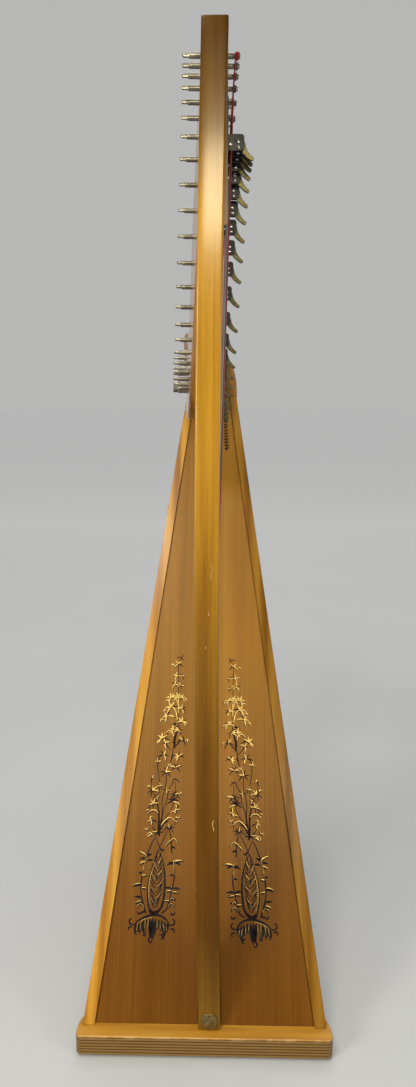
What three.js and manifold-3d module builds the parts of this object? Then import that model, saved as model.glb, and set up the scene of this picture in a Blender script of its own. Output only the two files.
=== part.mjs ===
// A 33-string lever harp that stands on its own base board.
// Millimetres, +Z up. The player's soundbox leans back along +Y, the pillar is at the front (-Y),
// +X is the side of the strings and the sharping levers.
// "Depth" is measured back from the pillar's front face and "height" up from the top of the base.

import * as THREE from 'three';
import { mergeVertices } from 'three/addons/utils/BufferGeometryUtils.js';
import Module from 'manifold-3d';

const wasm = await Module();
wasm.setup();

// Driving dimensions --------------------------------------------------------------------------

const GAP = 0.3;                  // clearance between neighbouring pieces
const STRINGS = 33;

const GLIDE = { radius: 14, height: 4, sides: 16 };
const BASE = {
  thickness: 36, halfWidth: 213, front: -17.5, shoulder: 13, back: 288, halfBack: 80,
  frontCorner: 10, sideCorner: 18, backCorner: 34, arris: 2,
};
const BASE_TOP = GLIDE.height + BASE.thickness;

const PILLAR = { height: 1520, depth: 38, widthFoot: 37.4, widthTop: 36, arris: 3, steps: 14 };

const LEAN = THREE.MathUtils.degToRad(30);     // soundboard, back from the vertical
const BOX = {
  footDepth: 11, length: 1188, apex: 1614, halfWidth: 203.5, depth: 210, backRatio: 0.5,
  sideThickness: 8, backThickness: 6, sideTop: 1120, start: -6,
};
const SOUNDBOARD = 5;
const RIM = { footWidth: 20, topWidth: 16, proud: 4, thickness: 13, hornTip: 1158, hornRoot: 1123 };
const RIB = { halfWidth: 7, thickness: 3, innerHalfWidth: 12, innerThickness: 6, from: 61.5, to: 1176 };
const SOUND_HOLES = [
  { s: 330, rx: 44, rs: 66 },
  { s: 530, rx: 38, rs: 56 },
  { s: 712, rx: 31, rs: 46 },
  { s: 874, rx: 24, rs: 36 },
];

const NECK = {
  start: 38, end: 605, thickness: 36, swell: 8, topMargin: 22, footMargin: 18, steps: 14,
  kneeFoot: 1270,
};
// The neck bows sideways: this is its left face in plan, as depth and X.
const NECK_PLAN = new THREE.SplineCurve([
  [38, -3], [95, -6.8], [150, -11.8], [205, -19.6], [260, -28], [310, -34.2], [400, -43.2],
  [500, -49.5], [606, -54],
].map(([depth, x]) => new THREE.Vector2(depth, x)));

const FIRST_PIN_DEPTH = 65;
const PIN_SPACING = 16.3;         // at the bass end, closing up towards the treble
const PIN_CLOSING = 0.026;
const PIN_LINE = new THREE.SplineCurve([
  [65, 1495], [113, 1471], [162, 1419], [211, 1321], [259, 1209], [306, 1127],
  [357, 1070], [415, 1042], [470, 1056], [520, 1090], [562, 1122],
].map(([depth, height]) => new THREE.Vector2(depth, height)));
const LEVER_LINE = new THREE.SplineCurve([
  [65, 1384], [114, 1370], [162, 1318], [210, 1236], [257, 1128], [304, 1068],
  [350, 1030], [411, 1005], [486, 1024], [530, 1054], [562, 1081],
].map(([depth, height]) => new THREE.Vector2(depth, height)));

const TUNING_PIN = { radius: 4, left: 25.5, right: 18, tip: 8.5, tipRadius: 3.3, clearance: 0.4, sides: 5 };
const BRIDGE_PIN = { radius: 2, reach: 12, lift: 0.5, sides: 4 };
const STRING = { offset: 8, footLift: 4, bassRadius: 1, trebleRadius: 0.4, sides: 4 };
const COIL = { radius: 5.2, from: 10.5, to: 17.4, sides: 5 };

const LEVER = {
  pivotOut: 15.5, hubRadius: 5, heel: 10, lobeClear: 0.25, holeRadius: 2, pinRadius: 1.6,
  thickness: 5, reach: 36, drop: 22.5, barWidth: 5.6, curveSteps: 3,
};
const BRACKET = {
  plate: 2, cheek: 1.8, cheekInner: 3.2, reach: 24, above: 10, below: 12, tongueHalf: 3.2,
  pinSides: 5,
};

const MEDALLION = { radius: 15, flat: 13.2, thickness: 1.6, height: 17, nailUp: 11.5, nailRadius: 1.3 };
const BOLT = { radius: 5, headRadius: 11, headHeight: 8, clearance: 0.5, sides: 12 };

// Solids ---------------------------------------------------------------------------------------

function toSolid(geometry) {
  const bare = geometry.clone();
  bare.deleteAttribute('normal');
  bare.deleteAttribute('uv');
  const merged = mergeVertices(bare, 1e-4);
  return new wasm.Manifold(new wasm.Mesh({
    numProp: 3,
    vertProperties: new Float32Array(merged.attributes.position.array),
    triVerts: new Uint32Array(merged.index.array),
  }));
}

function toGeometry(solid) {
  const mesh = solid.getMesh();
  const geometry = new THREE.BufferGeometry();
  geometry.setAttribute('position', new THREE.BufferAttribute(mesh.vertProperties, 3));
  geometry.setIndex(new THREE.BufferAttribute(mesh.triVerts, 1));
  return geometry;
}

const cut = (geometry, ...tools) =>
  toGeometry(tools.reduce((solid, tool) => solid.subtract(toSolid(tool)), toSolid(geometry)));
const join = (...pieces) =>
  toGeometry(pieces.slice(1).reduce((solid, piece) => solid.add(toSolid(piece)), toSolid(pieces[0])));
const overlap = (a, b) => toGeometry(toSolid(a).intersect(toSolid(b)));

// A shape drawn in plan, extruded up.
function extrudeUp(shape, from, to, options = {}) {
  const geometry = new THREE.ExtrudeGeometry(shape, {
    depth: to - from, bevelEnabled: false, curveSegments: 6, ...options,
  });
  return geometry.translate(0, 0, from);
}

// A shape drawn as (X, Z), extruded from one depth back to another.
function extrudeBack(shape, from, to, options = {}) {
  const turn = new THREE.Matrix4().makeBasis(
    new THREE.Vector3(1, 0, 0), new THREE.Vector3(0, 0, 1), new THREE.Vector3(0, -1, 0),
  );
  return extrudeUp(shape, 0, to - from, options).applyMatrix4(turn).translate(0, to, 0);
}

// A shape drawn as (Y, Z), extruded along X.
function extrudeAcross(shape, from, to) {
  const turn = new THREE.Matrix4().makeBasis(
    new THREE.Vector3(0, 1, 0), new THREE.Vector3(0, 0, 1), new THREE.Vector3(1, 0, 0),
  );
  return extrudeUp(shape, from, to).applyMatrix4(turn);
}

function block(x0, x1, y0, y1, z0, z1) {
  const geometry = new THREE.BoxGeometry(x1 - x0, y1 - y0, z1 - z0);
  return geometry.translate((x0 + x1) / 2, (y0 + y1) / 2, (z0 + z1) / 2);
}

// A round or many-sided bar between two points.
function rod(a, b, radius, sides) {
  const along = new THREE.Vector3().subVectors(b, a);
  const turn = new THREE.Quaternion().setFromUnitVectors(
    new THREE.Vector3(0, 1, 0), along.clone().normalize(),
  );
  const middle = new THREE.Vector3().addVectors(a, b).multiplyScalar(0.5);
  return new THREE.CylinderGeometry(radius, radius, along.length(), sides)
    .applyQuaternion(turn)
    .translate(middle.x, middle.y, middle.z);
}

// A polygon whose corners are rounded by the radii given.
function roundedPolygon(corners) {
  const shape = new THREE.Shape();
  const count = corners.length;
  corners.forEach(([x, y, radius = 0], i) => {
    const here = new THREE.Vector2(x, y);
    const towards = ([px, py]) => new THREE.Vector2(px, py).sub(here).normalize();
    const before = towards(corners[(i + count - 1) % count]).multiplyScalar(radius).add(here);
    const after = towards(corners[(i + 1) % count]).multiplyScalar(radius).add(here);
    if (i === 0) shape.moveTo(before.x, before.y);
    else shape.lineTo(before.x, before.y);
    if (radius > 0) shape.quadraticCurveTo(x, y, after.x, after.y);
  });
  shape.closePath();
  return shape;
}

const polygon = (points) => new THREE.Shape(points.map(([x, y]) => new THREE.Vector2(x, y)));

// A straight prism whose section changes evenly from one polygon to another with as many corners.
function loft(fromSection, toSection, from, to) {
  const geometry = extrudeUp(polygon(fromSection), from, to);
  const place = geometry.attributes.position;
  for (let i = 0; i < place.count; i += 1) {
    if (place.getZ(i) > (from + to) / 2) {
      const corner = fromSection.findIndex(
        ([x, y]) => Math.hypot(x - place.getX(i), y - place.getY(i)) < 1e-3,
      );
      place.setXY(i, toSection[corner][0], toSection[corner][1]);
    }
  }
  return geometry;
}

function piece(name, geometry, material) {
  const mesh = new THREE.Mesh(geometry, material);
  mesh.name = name;
  return mesh;
}

// Materials --------------------------------------------------------------------------------------

const finish = (color, roughness, metalness) =>
  new THREE.MeshStandardMaterial({ color, roughness, metalness });

const PILLAR_WOOD = () => finish(0xb07c2c, 0.3, 0);
const FRAME_WOOD = () => finish(0x8a5a20, 0.35, 0);
const BOARD_WOOD = () => finish(0x96702f, 0.5, 0);
const BASE_PLY = () => finish(0xb58b4a, 0.5, 0);
const INNER_WOOD = () => finish(0xc8a26a, 0.8, 0);
const STEEL = () => finish(0x8c8a80, 0.35, 1);
const BRASS = () => finish(0x7d7350, 0.4, 1);
const RUBBER = () => finish(0x1c1b1a, 0.9, 0);

// Shared curves ----------------------------------------------------------------------------------

// The second coordinate of a curve at one depth, by bisection.
function heightAt(curve, depth) {
  let low = 0;
  let high = 1;
  for (let i = 0; i < 40; i += 1) {
    const middle = (low + high) / 2;
    if (curve.getPoint(middle).x < depth) low = middle;
    else high = middle;
  }
  return curve.getPoint((low + high) / 2).y;
}

// The pillar stands a little right of centre and bows left between its ends.
const pillarX = (height) => 8.53 - 0.015927 * height + 1.351e-5 * height * height;
const pillarHalf = (height) =>
  THREE.MathUtils.lerp(PILLAR.widthFoot, PILLAR.widthTop, height / PILLAR.height) / 2;

const neckLeft = (depth) => heightAt(NECK_PLAN, depth);
const neckThickness = (depth) =>
  NECK.thickness + NECK.swell * (depth - NECK.start) / (NECK.end - NECK.start);
const neckRight = (depth) => neckLeft(depth) + neckThickness(depth);
const neckTurn = (depth) => -Math.atan((neckRight(depth + 1) - neckRight(depth - 1)) / 2);

// Everything that is set out string by string.
function stringStation(index) {
  const pinDepth = FIRST_PIN_DEPTH + PIN_SPACING * index - PIN_CLOSING * index * index;
  const pinHeight = heightAt(PIN_LINE, pinDepth);
  const pivotHeight = heightAt(LEVER_LINE, pinDepth);
  const along = index / (STRINGS - 1);
  const footDepth = THREE.MathUtils.lerp(44, 583, along);
  const footHeight = (footDepth - BOX.footDepth) / Math.tan(LEAN) + STRING.footLift;
  const depthAt = (height) =>
    footDepth + (pinDepth - footDepth) * (height - footHeight) / (pinHeight - footHeight);
  const bridgeHeight = pivotHeight + BRIDGE_PIN.lift * (pinHeight - pivotHeight);
  return {
    index, pinDepth, pinHeight, footDepth, footHeight, pivotHeight, bridgeHeight,
    pivotDepth: depthAt(pivotHeight),
    bridgeDepth: depthAt(bridgeHeight),
    radius: THREE.MathUtils.lerp(STRING.bassRadius, STRING.trebleRadius, Math.sqrt(along)),
  };
}

const stations = Array.from({ length: STRINGS }, (_, index) => stringStation(index));

// The neck's right face at one depth: local X leaves the face, local Y runs back along it.
function faceFrame(depth, height) {
  return new THREE.Matrix4()
    .makeRotationZ(neckTurn(depth))
    .setPosition(neckRight(depth), depth, BASE_TOP + height);
}

// The soundbox frame: X across, Y square to the soundboard into the box, Z up along the board.
const boxFrame = new THREE.Matrix4()
  .makeRotationX(-LEAN)
  .setPosition(0, BOX.footDepth, BASE_TOP);
const toBoxFrame = (geometry) => geometry.applyMatrix4(boxFrame.clone().invert());

// Base -------------------------------------------------------------------------------------------

function baseOutline() {
  const b = BASE;
  const half = [
    [b.halfWidth - 1, b.front, b.frontCorner],
    [b.halfWidth, b.shoulder, b.sideCorner],
    [b.halfBack, b.back, b.backCorner],
  ];
  const mirrored = half.map(([x, y, r]) => [-x, y, r]).reverse();
  return roundedPolygon([...half, ...mirrored]);
}

const pillarBolt = () => join(
  rod(new THREE.Vector3(0, 0, BOLT.headHeight - 1), new THREE.Vector3(0, 0, 120), BOLT.radius, BOLT.sides),
  rod(new THREE.Vector3(0, 0, 0), new THREE.Vector3(0, 0, BOLT.headHeight), BOLT.headRadius, BOLT.sides),
);
const BOLT_PLACE = new THREE.Vector3(pillarX(0), PILLAR.depth / 2, GLIDE.height + 3);

function pillarBoltHole() {
  const { clearance, headRadius, headHeight, radius, sides } = BOLT;
  const at = (z) => new THREE.Vector3(BOLT_PLACE.x, BOLT_PLACE.y, z);
  return join(
    rod(at(GLIDE.height), at(BOLT_PLACE.z + 121), radius + clearance, sides),
    rod(at(GLIDE.height - 1), at(BOLT_PLACE.z + headHeight + clearance), headRadius + clearance, sides),
  );
}

function baseBoard() {
  const board = extrudeUp(baseOutline(), GLIDE.height + BASE.arris, BASE_TOP - BASE.arris, {
    bevelEnabled: true, bevelThickness: BASE.arris, bevelSize: BASE.arris,
    bevelOffset: -BASE.arris, bevelSegments: 1, curveSegments: 5,
  });
  return piece('base_board', cut(board, pillarBoltHole()), BASE_PLY());
}

function glides() {
  const places = {
    glide_front_left: [-178, 12], glide_front_right: [178, 12],
    glide_rear_left: [-62, 256], glide_rear_right: [62, 256],
  };
  return Object.entries(places).map(([name, [x, y]]) => {
    const disc = new THREE.CylinderGeometry(GLIDE.radius, GLIDE.radius - 1, GLIDE.height - GAP, GLIDE.sides);
    const glide = piece(name, disc, RUBBER());
    glide.position.set(x, y, (GLIDE.height - GAP) / 2);
    glide.rotation.x = Math.PI / 2;
    return glide;
  });
}

// Pillar -----------------------------------------------------------------------------------------

function pillarSide(side, grow = 0) {
  return Array.from({ length: PILLAR.steps + 1 }, (_, i) => {
    const height = PILLAR.height * i / PILLAR.steps;
    return [pillarX(height) + side * (pillarHalf(height) + grow), height];
  });
}

function pillar() {
  const outline = polygon([...pillarSide(1), ...pillarSide(-1).reverse()]);
  const { arris, depth } = PILLAR;
  const shaft = extrudeBack(outline, arris, depth - arris, {
    bevelEnabled: true, bevelThickness: arris, bevelSize: arris, bevelOffset: -arris, bevelSegments: 2,
  }).translate(0, 0, BASE_TOP + GAP);
  return piece('pillar', cut(shaft, pillarBoltHole()), PILLAR_WOOD());
}

// The room that the pillar's foot takes in the pieces around it.
const FOOT_ROOM = 70;
const pillarFootRoom = () => block(
  pillarX(FOOT_ROOM) - PILLAR.widthFoot / 2 - 0.5, pillarX(0) + PILLAR.widthFoot / 2 + 0.5,
  -20, PILLAR.depth + 0.5, BASE_TOP - 10, BASE_TOP + FOOT_ROOM,
);

function medallion() {
  const { radius, flat, thickness, height } = MEDALLION;
  const angle = Math.acos(flat / radius);
  const outline = new THREE.Shape();
  outline.absarc(0, 0, radius, angle, Math.PI - angle);
  outline.absarc(0, 0, radius, Math.PI + angle, -angle);
  outline.closePath();
  const disc = extrudeBack(outline, -thickness, 0);
  const plate = piece('medallion', disc, BRASS());
  plate.position.set(pillarX(height), -GAP, BASE_TOP + height);
  return plate;
}

function medallionNails() {
  const front = -GAP - MEDALLION.thickness - 0.1;
  return [['upper', 1], ['lower', -1]].map(([name, side]) => {
    const head = new THREE.CylinderGeometry(MEDALLION.nailRadius * 0.6, MEDALLION.nailRadius, 0.8, 8);
    const nail = piece(`medallion_nail_${name}`, head, STEEL());
    nail.rotation.x = Math.PI;
    nail.position.set(
      pillarX(MEDALLION.height), front - 0.4, BASE_TOP + MEDALLION.height + side * MEDALLION.nailUp,
    );
    return nail;
  });
}

// Soundbox ---------------------------------------------------------------------------------------

// Half width, and depth of the back, at a length up the board. Every edge aims at one apex.
const halfWidthAt = (s) => BOX.halfWidth * (1 - s / BOX.apex);
const rimBack = RIM.thickness - RIM.proud;
const rimWidthAt = (s) => THREE.MathUtils.lerp(RIM.footWidth, RIM.topWidth, s / BOX.length);
const backDepthAt = (s) => rimBack + (BOX.depth - rimBack) * (1 - s / BOX.apex);

// What the base's top leaves of a soundbox piece, as a tool in the soundbox frame.
const baseRoom = () => toBoxFrame(block(-300, 300, -200, 500, -160, BASE_TOP + GAP));
const footRoomInBox = () => toBoxFrame(pillarFootRoom());

function loftInBox(section, from, to) {
  return loft(section(from), section(to), from, to);
}

function soundboard() {
  const section = (s) => {
    const half = halfWidthAt(s) - rimWidthAt(s) - 0.5;
    return [[-half, 0], [half, 0], [half, SOUNDBOARD], [-half, SOUNDBOARD]];
  };
  const board = loftInBox(section, BOX.start, BOX.length);
  return piece('soundboard', cut(board, baseRoom(), footRoomInBox()), BOARD_WOOD());
}

function rim(side) {
  const front = -RIM.proud;
  const section = (s) => {
    const outer = side * halfWidthAt(s);
    const inner = side * (halfWidthAt(s) - rimWidthAt(s));
    const [low, high] = side > 0 ? [inner, outer] : [outer, inner];
    return [[low, front], [high, front], [high, rimBack], [low, rimBack]];
  };
  const bar = loftInBox(section, BOX.start, BOX.length);
  const tools = [baseRoom()];
  if (side < 0) tools.push(hornNotch());
  return cut(bar, ...tools);
}

// The left rim ends in a free horn: a narrow V is cut between it and the shoulder.
function hornNotch() {
  const outerAtTip = -halfWidthAt(RIM.hornTip) - 0.2;
  const inner = -halfWidthAt(RIM.hornRoot) + 5.4;
  const notch = polygon([
    [inner, RIM.hornRoot], [inner, BOX.length + 5], [outerAtTip - 5, BOX.length + 5],
    [outerAtTip, RIM.hornTip],
  ]);
  return extrudeBack(notch, -20, 40);
}

function rims() {
  return [
    piece('rim_left', rim(-1), FRAME_WOOD()),
    piece('rim_right', rim(1), FRAME_WOOD()),
  ];
}

function sidePanel(side) {
  const front = rimBack + GAP;
  const section = (s) => {
    const outerFront = halfWidthAt(s);
    const outerBack = halfWidthAt(s) * BOX.backRatio;
    const back = backDepthAt(s);
    const corners = [
      [outerFront, front], [outerBack, back],
      [outerBack - BOX.sideThickness, back], [outerFront - BOX.sideThickness, front],
    ];
    const placed = corners.map(([x, y]) => [side * x, y]);
    return side > 0 ? placed : placed.reverse();
  };
  return cut(loftInBox(section, BOX.start, BOX.sideTop), baseRoom());
}

function sides() {
  return [
    piece('side_left', sidePanel(-1), FRAME_WOOD()),
    piece('side_right', sidePanel(1), FRAME_WOOD()),
  ];
}

const backHalfAt = (s) => halfWidthAt(s) * BOX.backRatio - BOX.sideThickness - 0.5;

function backPanel() {
  const section = (s) => {
    const half = backHalfAt(s);
    const back = backDepthAt(s);
    return [
      [-half, back - BOX.backThickness], [half, back - BOX.backThickness], [half, back], [-half, back],
    ];
  };
  const panel = loftInBox(section, BOX.start, BOX.sideTop);
  const holes = SOUND_HOLES.map(({ s, rx, rs }) => {
    const hole = new THREE.Shape();
    hole.absellipse(0, s, rx, rs, 0, 2 * Math.PI);
    return extrudeBack(hole, 40, 260, { curveSegments: 10 });
  });
  return piece('back_panel', cut(panel, baseRoom(), ...holes), FRAME_WOOD());
}

function liners() {
  return [['left', -1], ['right', 1]].map(([name, side]) => {
    const section = (s) => {
      const [near, far] = [side * (halfWidthAt(s) - 34), side * (halfWidthAt(s) - 21)];
      const [low, high] = side > 0 ? [near, far] : [far, near];
      return [[low, 5.4], [high, 5.4], [high, 17], [low, 17]];
    };
    return piece(`liner_${name}`, loftInBox(section, 90, BOX.sideTop - 1), INNER_WOOD());
  });
}

function bottomBlock() {
  const section = (s) => {
    const half = halfWidthAt(s) - 55;
    return [[-half, 5.4], [half, 5.4], [half, 62], [-half, 62]];
  };
  const solid = loftInBox(section, BOX.start, 84);
  return piece('bottom_block', cut(solid, baseRoom(), footRoomInBox()), INNER_WOOD());
}

function innerRib() {
  const { innerHalfWidth, innerThickness, to } = RIB;
  const bar = block(-innerHalfWidth, innerHalfWidth, 5.4, 5.4 + innerThickness, 88, to - 60);
  return piece('inner_string_rib', bar, INNER_WOOD());
}

function backBraces() {
  const between = (a, b) => (SOUND_HOLES[a].s + SOUND_HOLES[b].s) / 2;
  const places = { lower: between(0, 1) + 5, middle: between(1, 2) + 5, upper: between(2, 3) + 5 };
  return Object.entries(places).map(([name, s]) => {
    const section = (at) => {
      const half = backHalfAt(s) - 4;
      const back = backDepthAt(at) - BOX.backThickness - GAP;
      return [[-half, back - 16], [half, back - 16], [half, back], [-half, back]];
    };
    return piece(`back_brace_${name}`, loftInBox(section, s - 6, s + 6), INNER_WOOD());
  });
}

// Shoulder ---------------------------------------------------------------------------------------

// Depth and height of a point of the soundbox frame.
function boxPoint(s, inward) {
  const sin = Math.sin(LEAN);
  const cos = Math.cos(LEAN);
  return [BOX.footDepth + s * sin + inward * cos, s * cos - inward * sin];
}

function shoulderSideOutline() {
  const inner = SOUNDBOARD + 0.5;
  const low = BOX.sideTop + 0.5;
  const outline = new THREE.Shape();
  const [frontX, frontY] = boxPoint(BOX.length + GAP, 0);
  outline.moveTo(...boxPoint(low, inner));
  outline.lineTo(...boxPoint(low, backDepthAt(low)));
  const [heelX, heelY] = boxPoint(low + 92, backDepthAt(low) + 3);
  outline.quadraticCurveTo(...boxPoint(low + 50, backDepthAt(low) + 4), heelX, heelY);
  outline.quadraticCurveTo(heelX + 28, heelY + 66, heelX - 16, heelY + 118);
  outline.quadraticCurveTo(heelX - 44, heelY + 150, frontX + 18, 1166);
  outline.quadraticCurveTo(frontX + 2, 1162, frontX, 1148);
  outline.lineTo(frontX, frontY);
  outline.lineTo(...boxPoint(BOX.length + GAP, inner));
  outline.closePath();
  return outline;
}

function shoulderFrontOutline() {
  const outline = new THREE.Shape();
  outline.moveTo(-52.5, 900);
  outline.lineTo(55, 900);
  outline.lineTo(55, 1036);
  outline.quadraticCurveTo(55, 1068, 46.5, 1090);
  outline.quadraticCurveTo(38, 1110, 20, 1127);
  outline.quadraticCurveTo(0, 1144, -16, 1160);
  outline.quadraticCurveTo(-24, 1172, -38, 1172);
  outline.quadraticCurveTo(-59, 1172, -59, 1150);
  outline.lineTo(-59, 1096);
  outline.quadraticCurveTo(-59, 1084, -53, 1074);
  outline.closePath();
  return outline;
}

function shoulderBolt() {
  const y0 = NECK.end - 32;
  const at = (y) => new THREE.Vector3(neckLeft(600) + 22, y, BASE_TOP + 1116);
  return { shaft: [at(y0), at(NECK.end + 52)], head: [at(NECK.end + 46), at(NECK.end + 54)] };
}

function shoulderBoltSolid(grow, tail) {
  const { shaft, head } = shoulderBolt();
  const far = head[1].clone().add(new THREE.Vector3(0, tail, 0));
  const near = head[0].clone().add(new THREE.Vector3(0, -grow, 0));
  const start = shaft[0].clone().add(new THREE.Vector3(0, -grow, 0));
  return join(
    rod(start, shaft[1], BOLT.radius - 1 + grow, BOLT.sides),
    rod(near, far, BOLT.headRadius - 2 + grow, BOLT.sides),
  );
}

// The room that one rim's top end takes in front of the shoulder block.
function rimRoom(side) {
  const section = (s) => {
    const outer = side * (halfWidthAt(s) + 10);
    const inner = side * (halfWidthAt(s) - rimWidthAt(s) - GAP);
    const [low, high] = side > 0 ? [inner, outer] : [outer, inner];
    const [front, back] = [-20, rimBack + GAP];
    return [[low, front], [high, front], [high, back], [low, back]];
  };
  return loftInBox(section, BOX.sideTop - 20, BOX.length + GAP).applyMatrix4(boxFrame);
}

function shoulderBlock() {
  const fromSide = extrudeAcross(shoulderSideOutline(), -90, 90);
  const fromFront = extrudeBack(shoulderFrontOutline(), 540, 760);
  const hump = overlap(fromSide, fromFront).translate(0, 0, BASE_TOP);
  const fitted = cut(hump, rimRoom(-1), rimRoom(1), shoulderBoltSolid(BOLT.clearance, 120));
  return piece('shoulder_block', fitted, FRAME_WOOD());
}

// Neck -------------------------------------------------------------------------------------------

// Points of a curve moved square to it: positive is up.
function offsetCurve(curve, distance, samples) {
  return Array.from({ length: samples + 1 }, (_, i) => {
    const point = curve.getPoint(i / samples);
    const tangent = curve.getTangent(i / samples);
    return [point.x - tangent.y * distance, point.y + tangent.x * distance];
  });
}

// The neck's underside sweeps down into the back of the pillar.
function kneeCurve([depth, height]) {
  const start = new THREE.Vector2(NECK.start + GAP, NECK.kneeFoot);
  const bend = new THREE.Vector2(NECK.start + 1, height - 14);
  const curve = new THREE.QuadraticBezierCurve(start, bend, new THREE.Vector2(depth, height));
  return curve.getPoints(5).slice(0, -1).map(({ x, y }) => [x, y]);
}

function neckSideOutline() {
  const upper = offsetCurve(PIN_LINE, NECK.topMargin, 26);
  const lower = offsetCurve(LEVER_LINE, -NECK.footMargin, 22);
  const inside = ([depth]) => depth > NECK.start + 14 && depth < NECK.end - 8;
  return polygon([
    ...kneeCurve(lower.find(inside)),
    ...lower.filter(inside),
    [NECK.end, 1074],
    [NECK.end, 1156],
    ...upper.filter(inside).reverse(),
    [NECK.start + GAP, PILLAR.height],
  ]);
}

function neckPlanOutline() {
  const depths = Array.from({ length: NECK.steps + 1 }, (_, i) =>
    THREE.MathUtils.lerp(NECK.start + GAP, NECK.end, i / NECK.steps));
  return polygon([
    ...depths.map((depth) => [neckRight(depth), depth]),
    ...depths.reverse().map((depth) => [neckLeft(depth), depth]),
  ]);
}

function tuningPinHole(station) {
  const { radius, clearance, sides } = TUNING_PIN;
  const from = -neckThickness(station.pinDepth) - 6;
  return rod(new THREE.Vector3(from, 0, 0), new THREE.Vector3(6, 0, 0), radius + clearance, sides)
    .applyMatrix4(faceFrame(station.pinDepth, station.pinHeight));
}

function neck() {
  const plan = extrudeUp(neckPlanOutline(), 900, 1600);
  const board = overlap(plan, extrudeAcross(neckSideOutline(), -120, 120));
  board.translate(0, 0, BASE_TOP);
  const holes = stations.map(tuningPinHole);
  return piece('neck', cut(board, ...holes, shoulderBoltSolid(BOLT.clearance, 0)), FRAME_WOOD());
}

// Strings, pins and lever brackets: one joined piece ---------------------------------------------

function tuningPin(station) {
  const { radius, left, right, tip, tipRadius, sides } = TUNING_PIN;
  const start = -neckThickness(station.pinDepth) - left;
  const at = (x) => new THREE.Vector3(x, 0, 0);
  return [
    rod(at(start), at(start + tip + 1), tipRadius, 4),
    rod(at(start + tip), at(right), radius, sides),
    rod(at(COIL.from), at(COIL.to), COIL.radius, COIL.sides),
  ].map((solid) => solid.applyMatrix4(faceFrame(station.pinDepth, station.pinHeight)));
}

// The bracket is a channel with two cheeks; a tongue above it carries the bridge pin.
function bridgeAndBracket(station) {
  const b = BRACKET;
  const rise = station.bridgeHeight - station.pivotHeight;
  const shift = station.bridgeDepth - station.pivotDepth;
  const outer = b.cheekInner + b.cheek;
  const inPlate = GAP + b.plate / 2;
  const inCheek = b.cheekInner + b.cheek / 2;
  const across = (x, z, radius) =>
    rod(new THREE.Vector3(x, -inCheek, z), new THREE.Vector3(x, inCheek, z), radius, b.pinSides);
  const channel = polygon([
    [GAP, -outer], [b.reach, -outer], [b.reach, -b.cheekInner], [GAP + b.plate, -b.cheekInner],
    [GAP + b.plate, b.cheekInner], [b.reach, b.cheekInner], [b.reach, outer], [GAP, outer],
  ]);
  const bridgeFoot = new THREE.Vector3(inPlate, shift, rise);
  const bridgeTip = new THREE.Vector3(BRIDGE_PIN.reach, shift, rise);
  return [
    extrudeUp(channel, -b.below, b.above),
    block(GAP, inPlate + 0.6, shift - b.tongueHalf, shift + b.tongueHalf, b.above - 1, rise + 4),
    across(LEVER.pivotOut, 0, LEVER.pinRadius),
    rod(bridgeFoot, bridgeTip, BRIDGE_PIN.radius, BRIDGE_PIN.sides),
  ].map((solid) => solid.applyMatrix4(faceFrame(station.pivotDepth, station.pivotHeight)));
}

function stringPath(station) {
  const bridge = new THREE.Vector3(STRING.offset, 0, 0)
    .applyMatrix4(faceFrame(station.bridgeDepth, station.bridgeHeight));
  const pin = new THREE.Vector3(COIL.from + 1, 0, 0)
    .applyMatrix4(faceFrame(station.pinDepth, station.pinHeight));
  const foot = new THREE.Vector3(0, station.footDepth, BASE_TOP + station.footHeight);
  return [foot, bridge, pin];
}

function stringSolids(station) {
  const [foot, bridge, pin] = stringPath(station);
  return [
    rod(foot, bridge, station.radius, STRING.sides),
    rod(bridge, pin, station.radius, STRING.sides),
  ];
}

function outerRib() {
  const { halfWidth, thickness, from, to } = RIB;
  const bar = block(-halfWidth, halfWidth, -thickness - GAP, -GAP, from, to);
  return bar.applyMatrix4(boxFrame);
}

function stringsAndHardware() {
  const perString = stations.map((station) => join(
    ...stringSolids(station), ...tuningPin(station), ...bridgeAndBracket(station),
  ));
  return piece('strings_and_hardware', join(outerRib(), ...perString), STEEL());
}

// Sharping levers --------------------------------------------------------------------------------

// A lever is drawn as (out from the neck, up) about its pivot: hub, cam lobe, heel and handle.
function leverOutline(lobeRadius) {
  const { hubRadius, heel, reach, drop, barWidth, pivotOut } = LEVER;
  const tipX = reach - pivotOut;
  const half = barWidth / 2;
  const outline = new THREE.Shape();
  outline.moveTo(heel, -1);
  outline.quadraticCurveTo(heel + 1, -12, tipX + half * 0.7, -drop + half * 0.7);
  outline.quadraticCurveTo(tipX + half * 0.5, -drop - half, tipX - half * 0.8, -drop - half * 0.5);
  outline.quadraticCurveTo(hubRadius - 1.2, -15.5, hubRadius * 0.35, -hubRadius * 0.92);
  outline.absarc(0, 0, hubRadius * 0.98, -1.25, -Math.PI - 0.5, true);
  outline.lineTo(-2.2, lobeRadius * 0.96);
  outline.lineTo(0.8, lobeRadius * 0.98);
  outline.quadraticCurveTo(heel * 0.62, lobeRadius * 0.88, heel, -1);
  outline.closePath();
  const hole = new THREE.Path();
  hole.absarc(0, 0, LEVER.holeRadius, 0, 2 * Math.PI, false);
  outline.holes.push(hole);
  return outline;
}

function levers() {
  return stations.map((station) => {
    const reachToString = LEVER.pivotOut - STRING.offset;
    const outline = leverOutline(reachToString - station.radius - LEVER.lobeClear);
    const half = LEVER.thickness / 2;
    const number = String(station.index + 1).padStart(2, '0');
    const body = extrudeBack(outline, -half, half, { curveSegments: LEVER.curveSteps });
    const lever = piece(`lever_${number}`, body, BRASS());
    const frame = faceFrame(station.pivotDepth, station.pivotHeight);
    frame.multiply(new THREE.Matrix4().makeTranslation(LEVER.pivotOut, 0, 0));
    frame.decompose(lever.position, lever.quaternion, lever.scale);
    return lever;
  });
}

// Assembly ---------------------------------------------------------------------------------------

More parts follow.
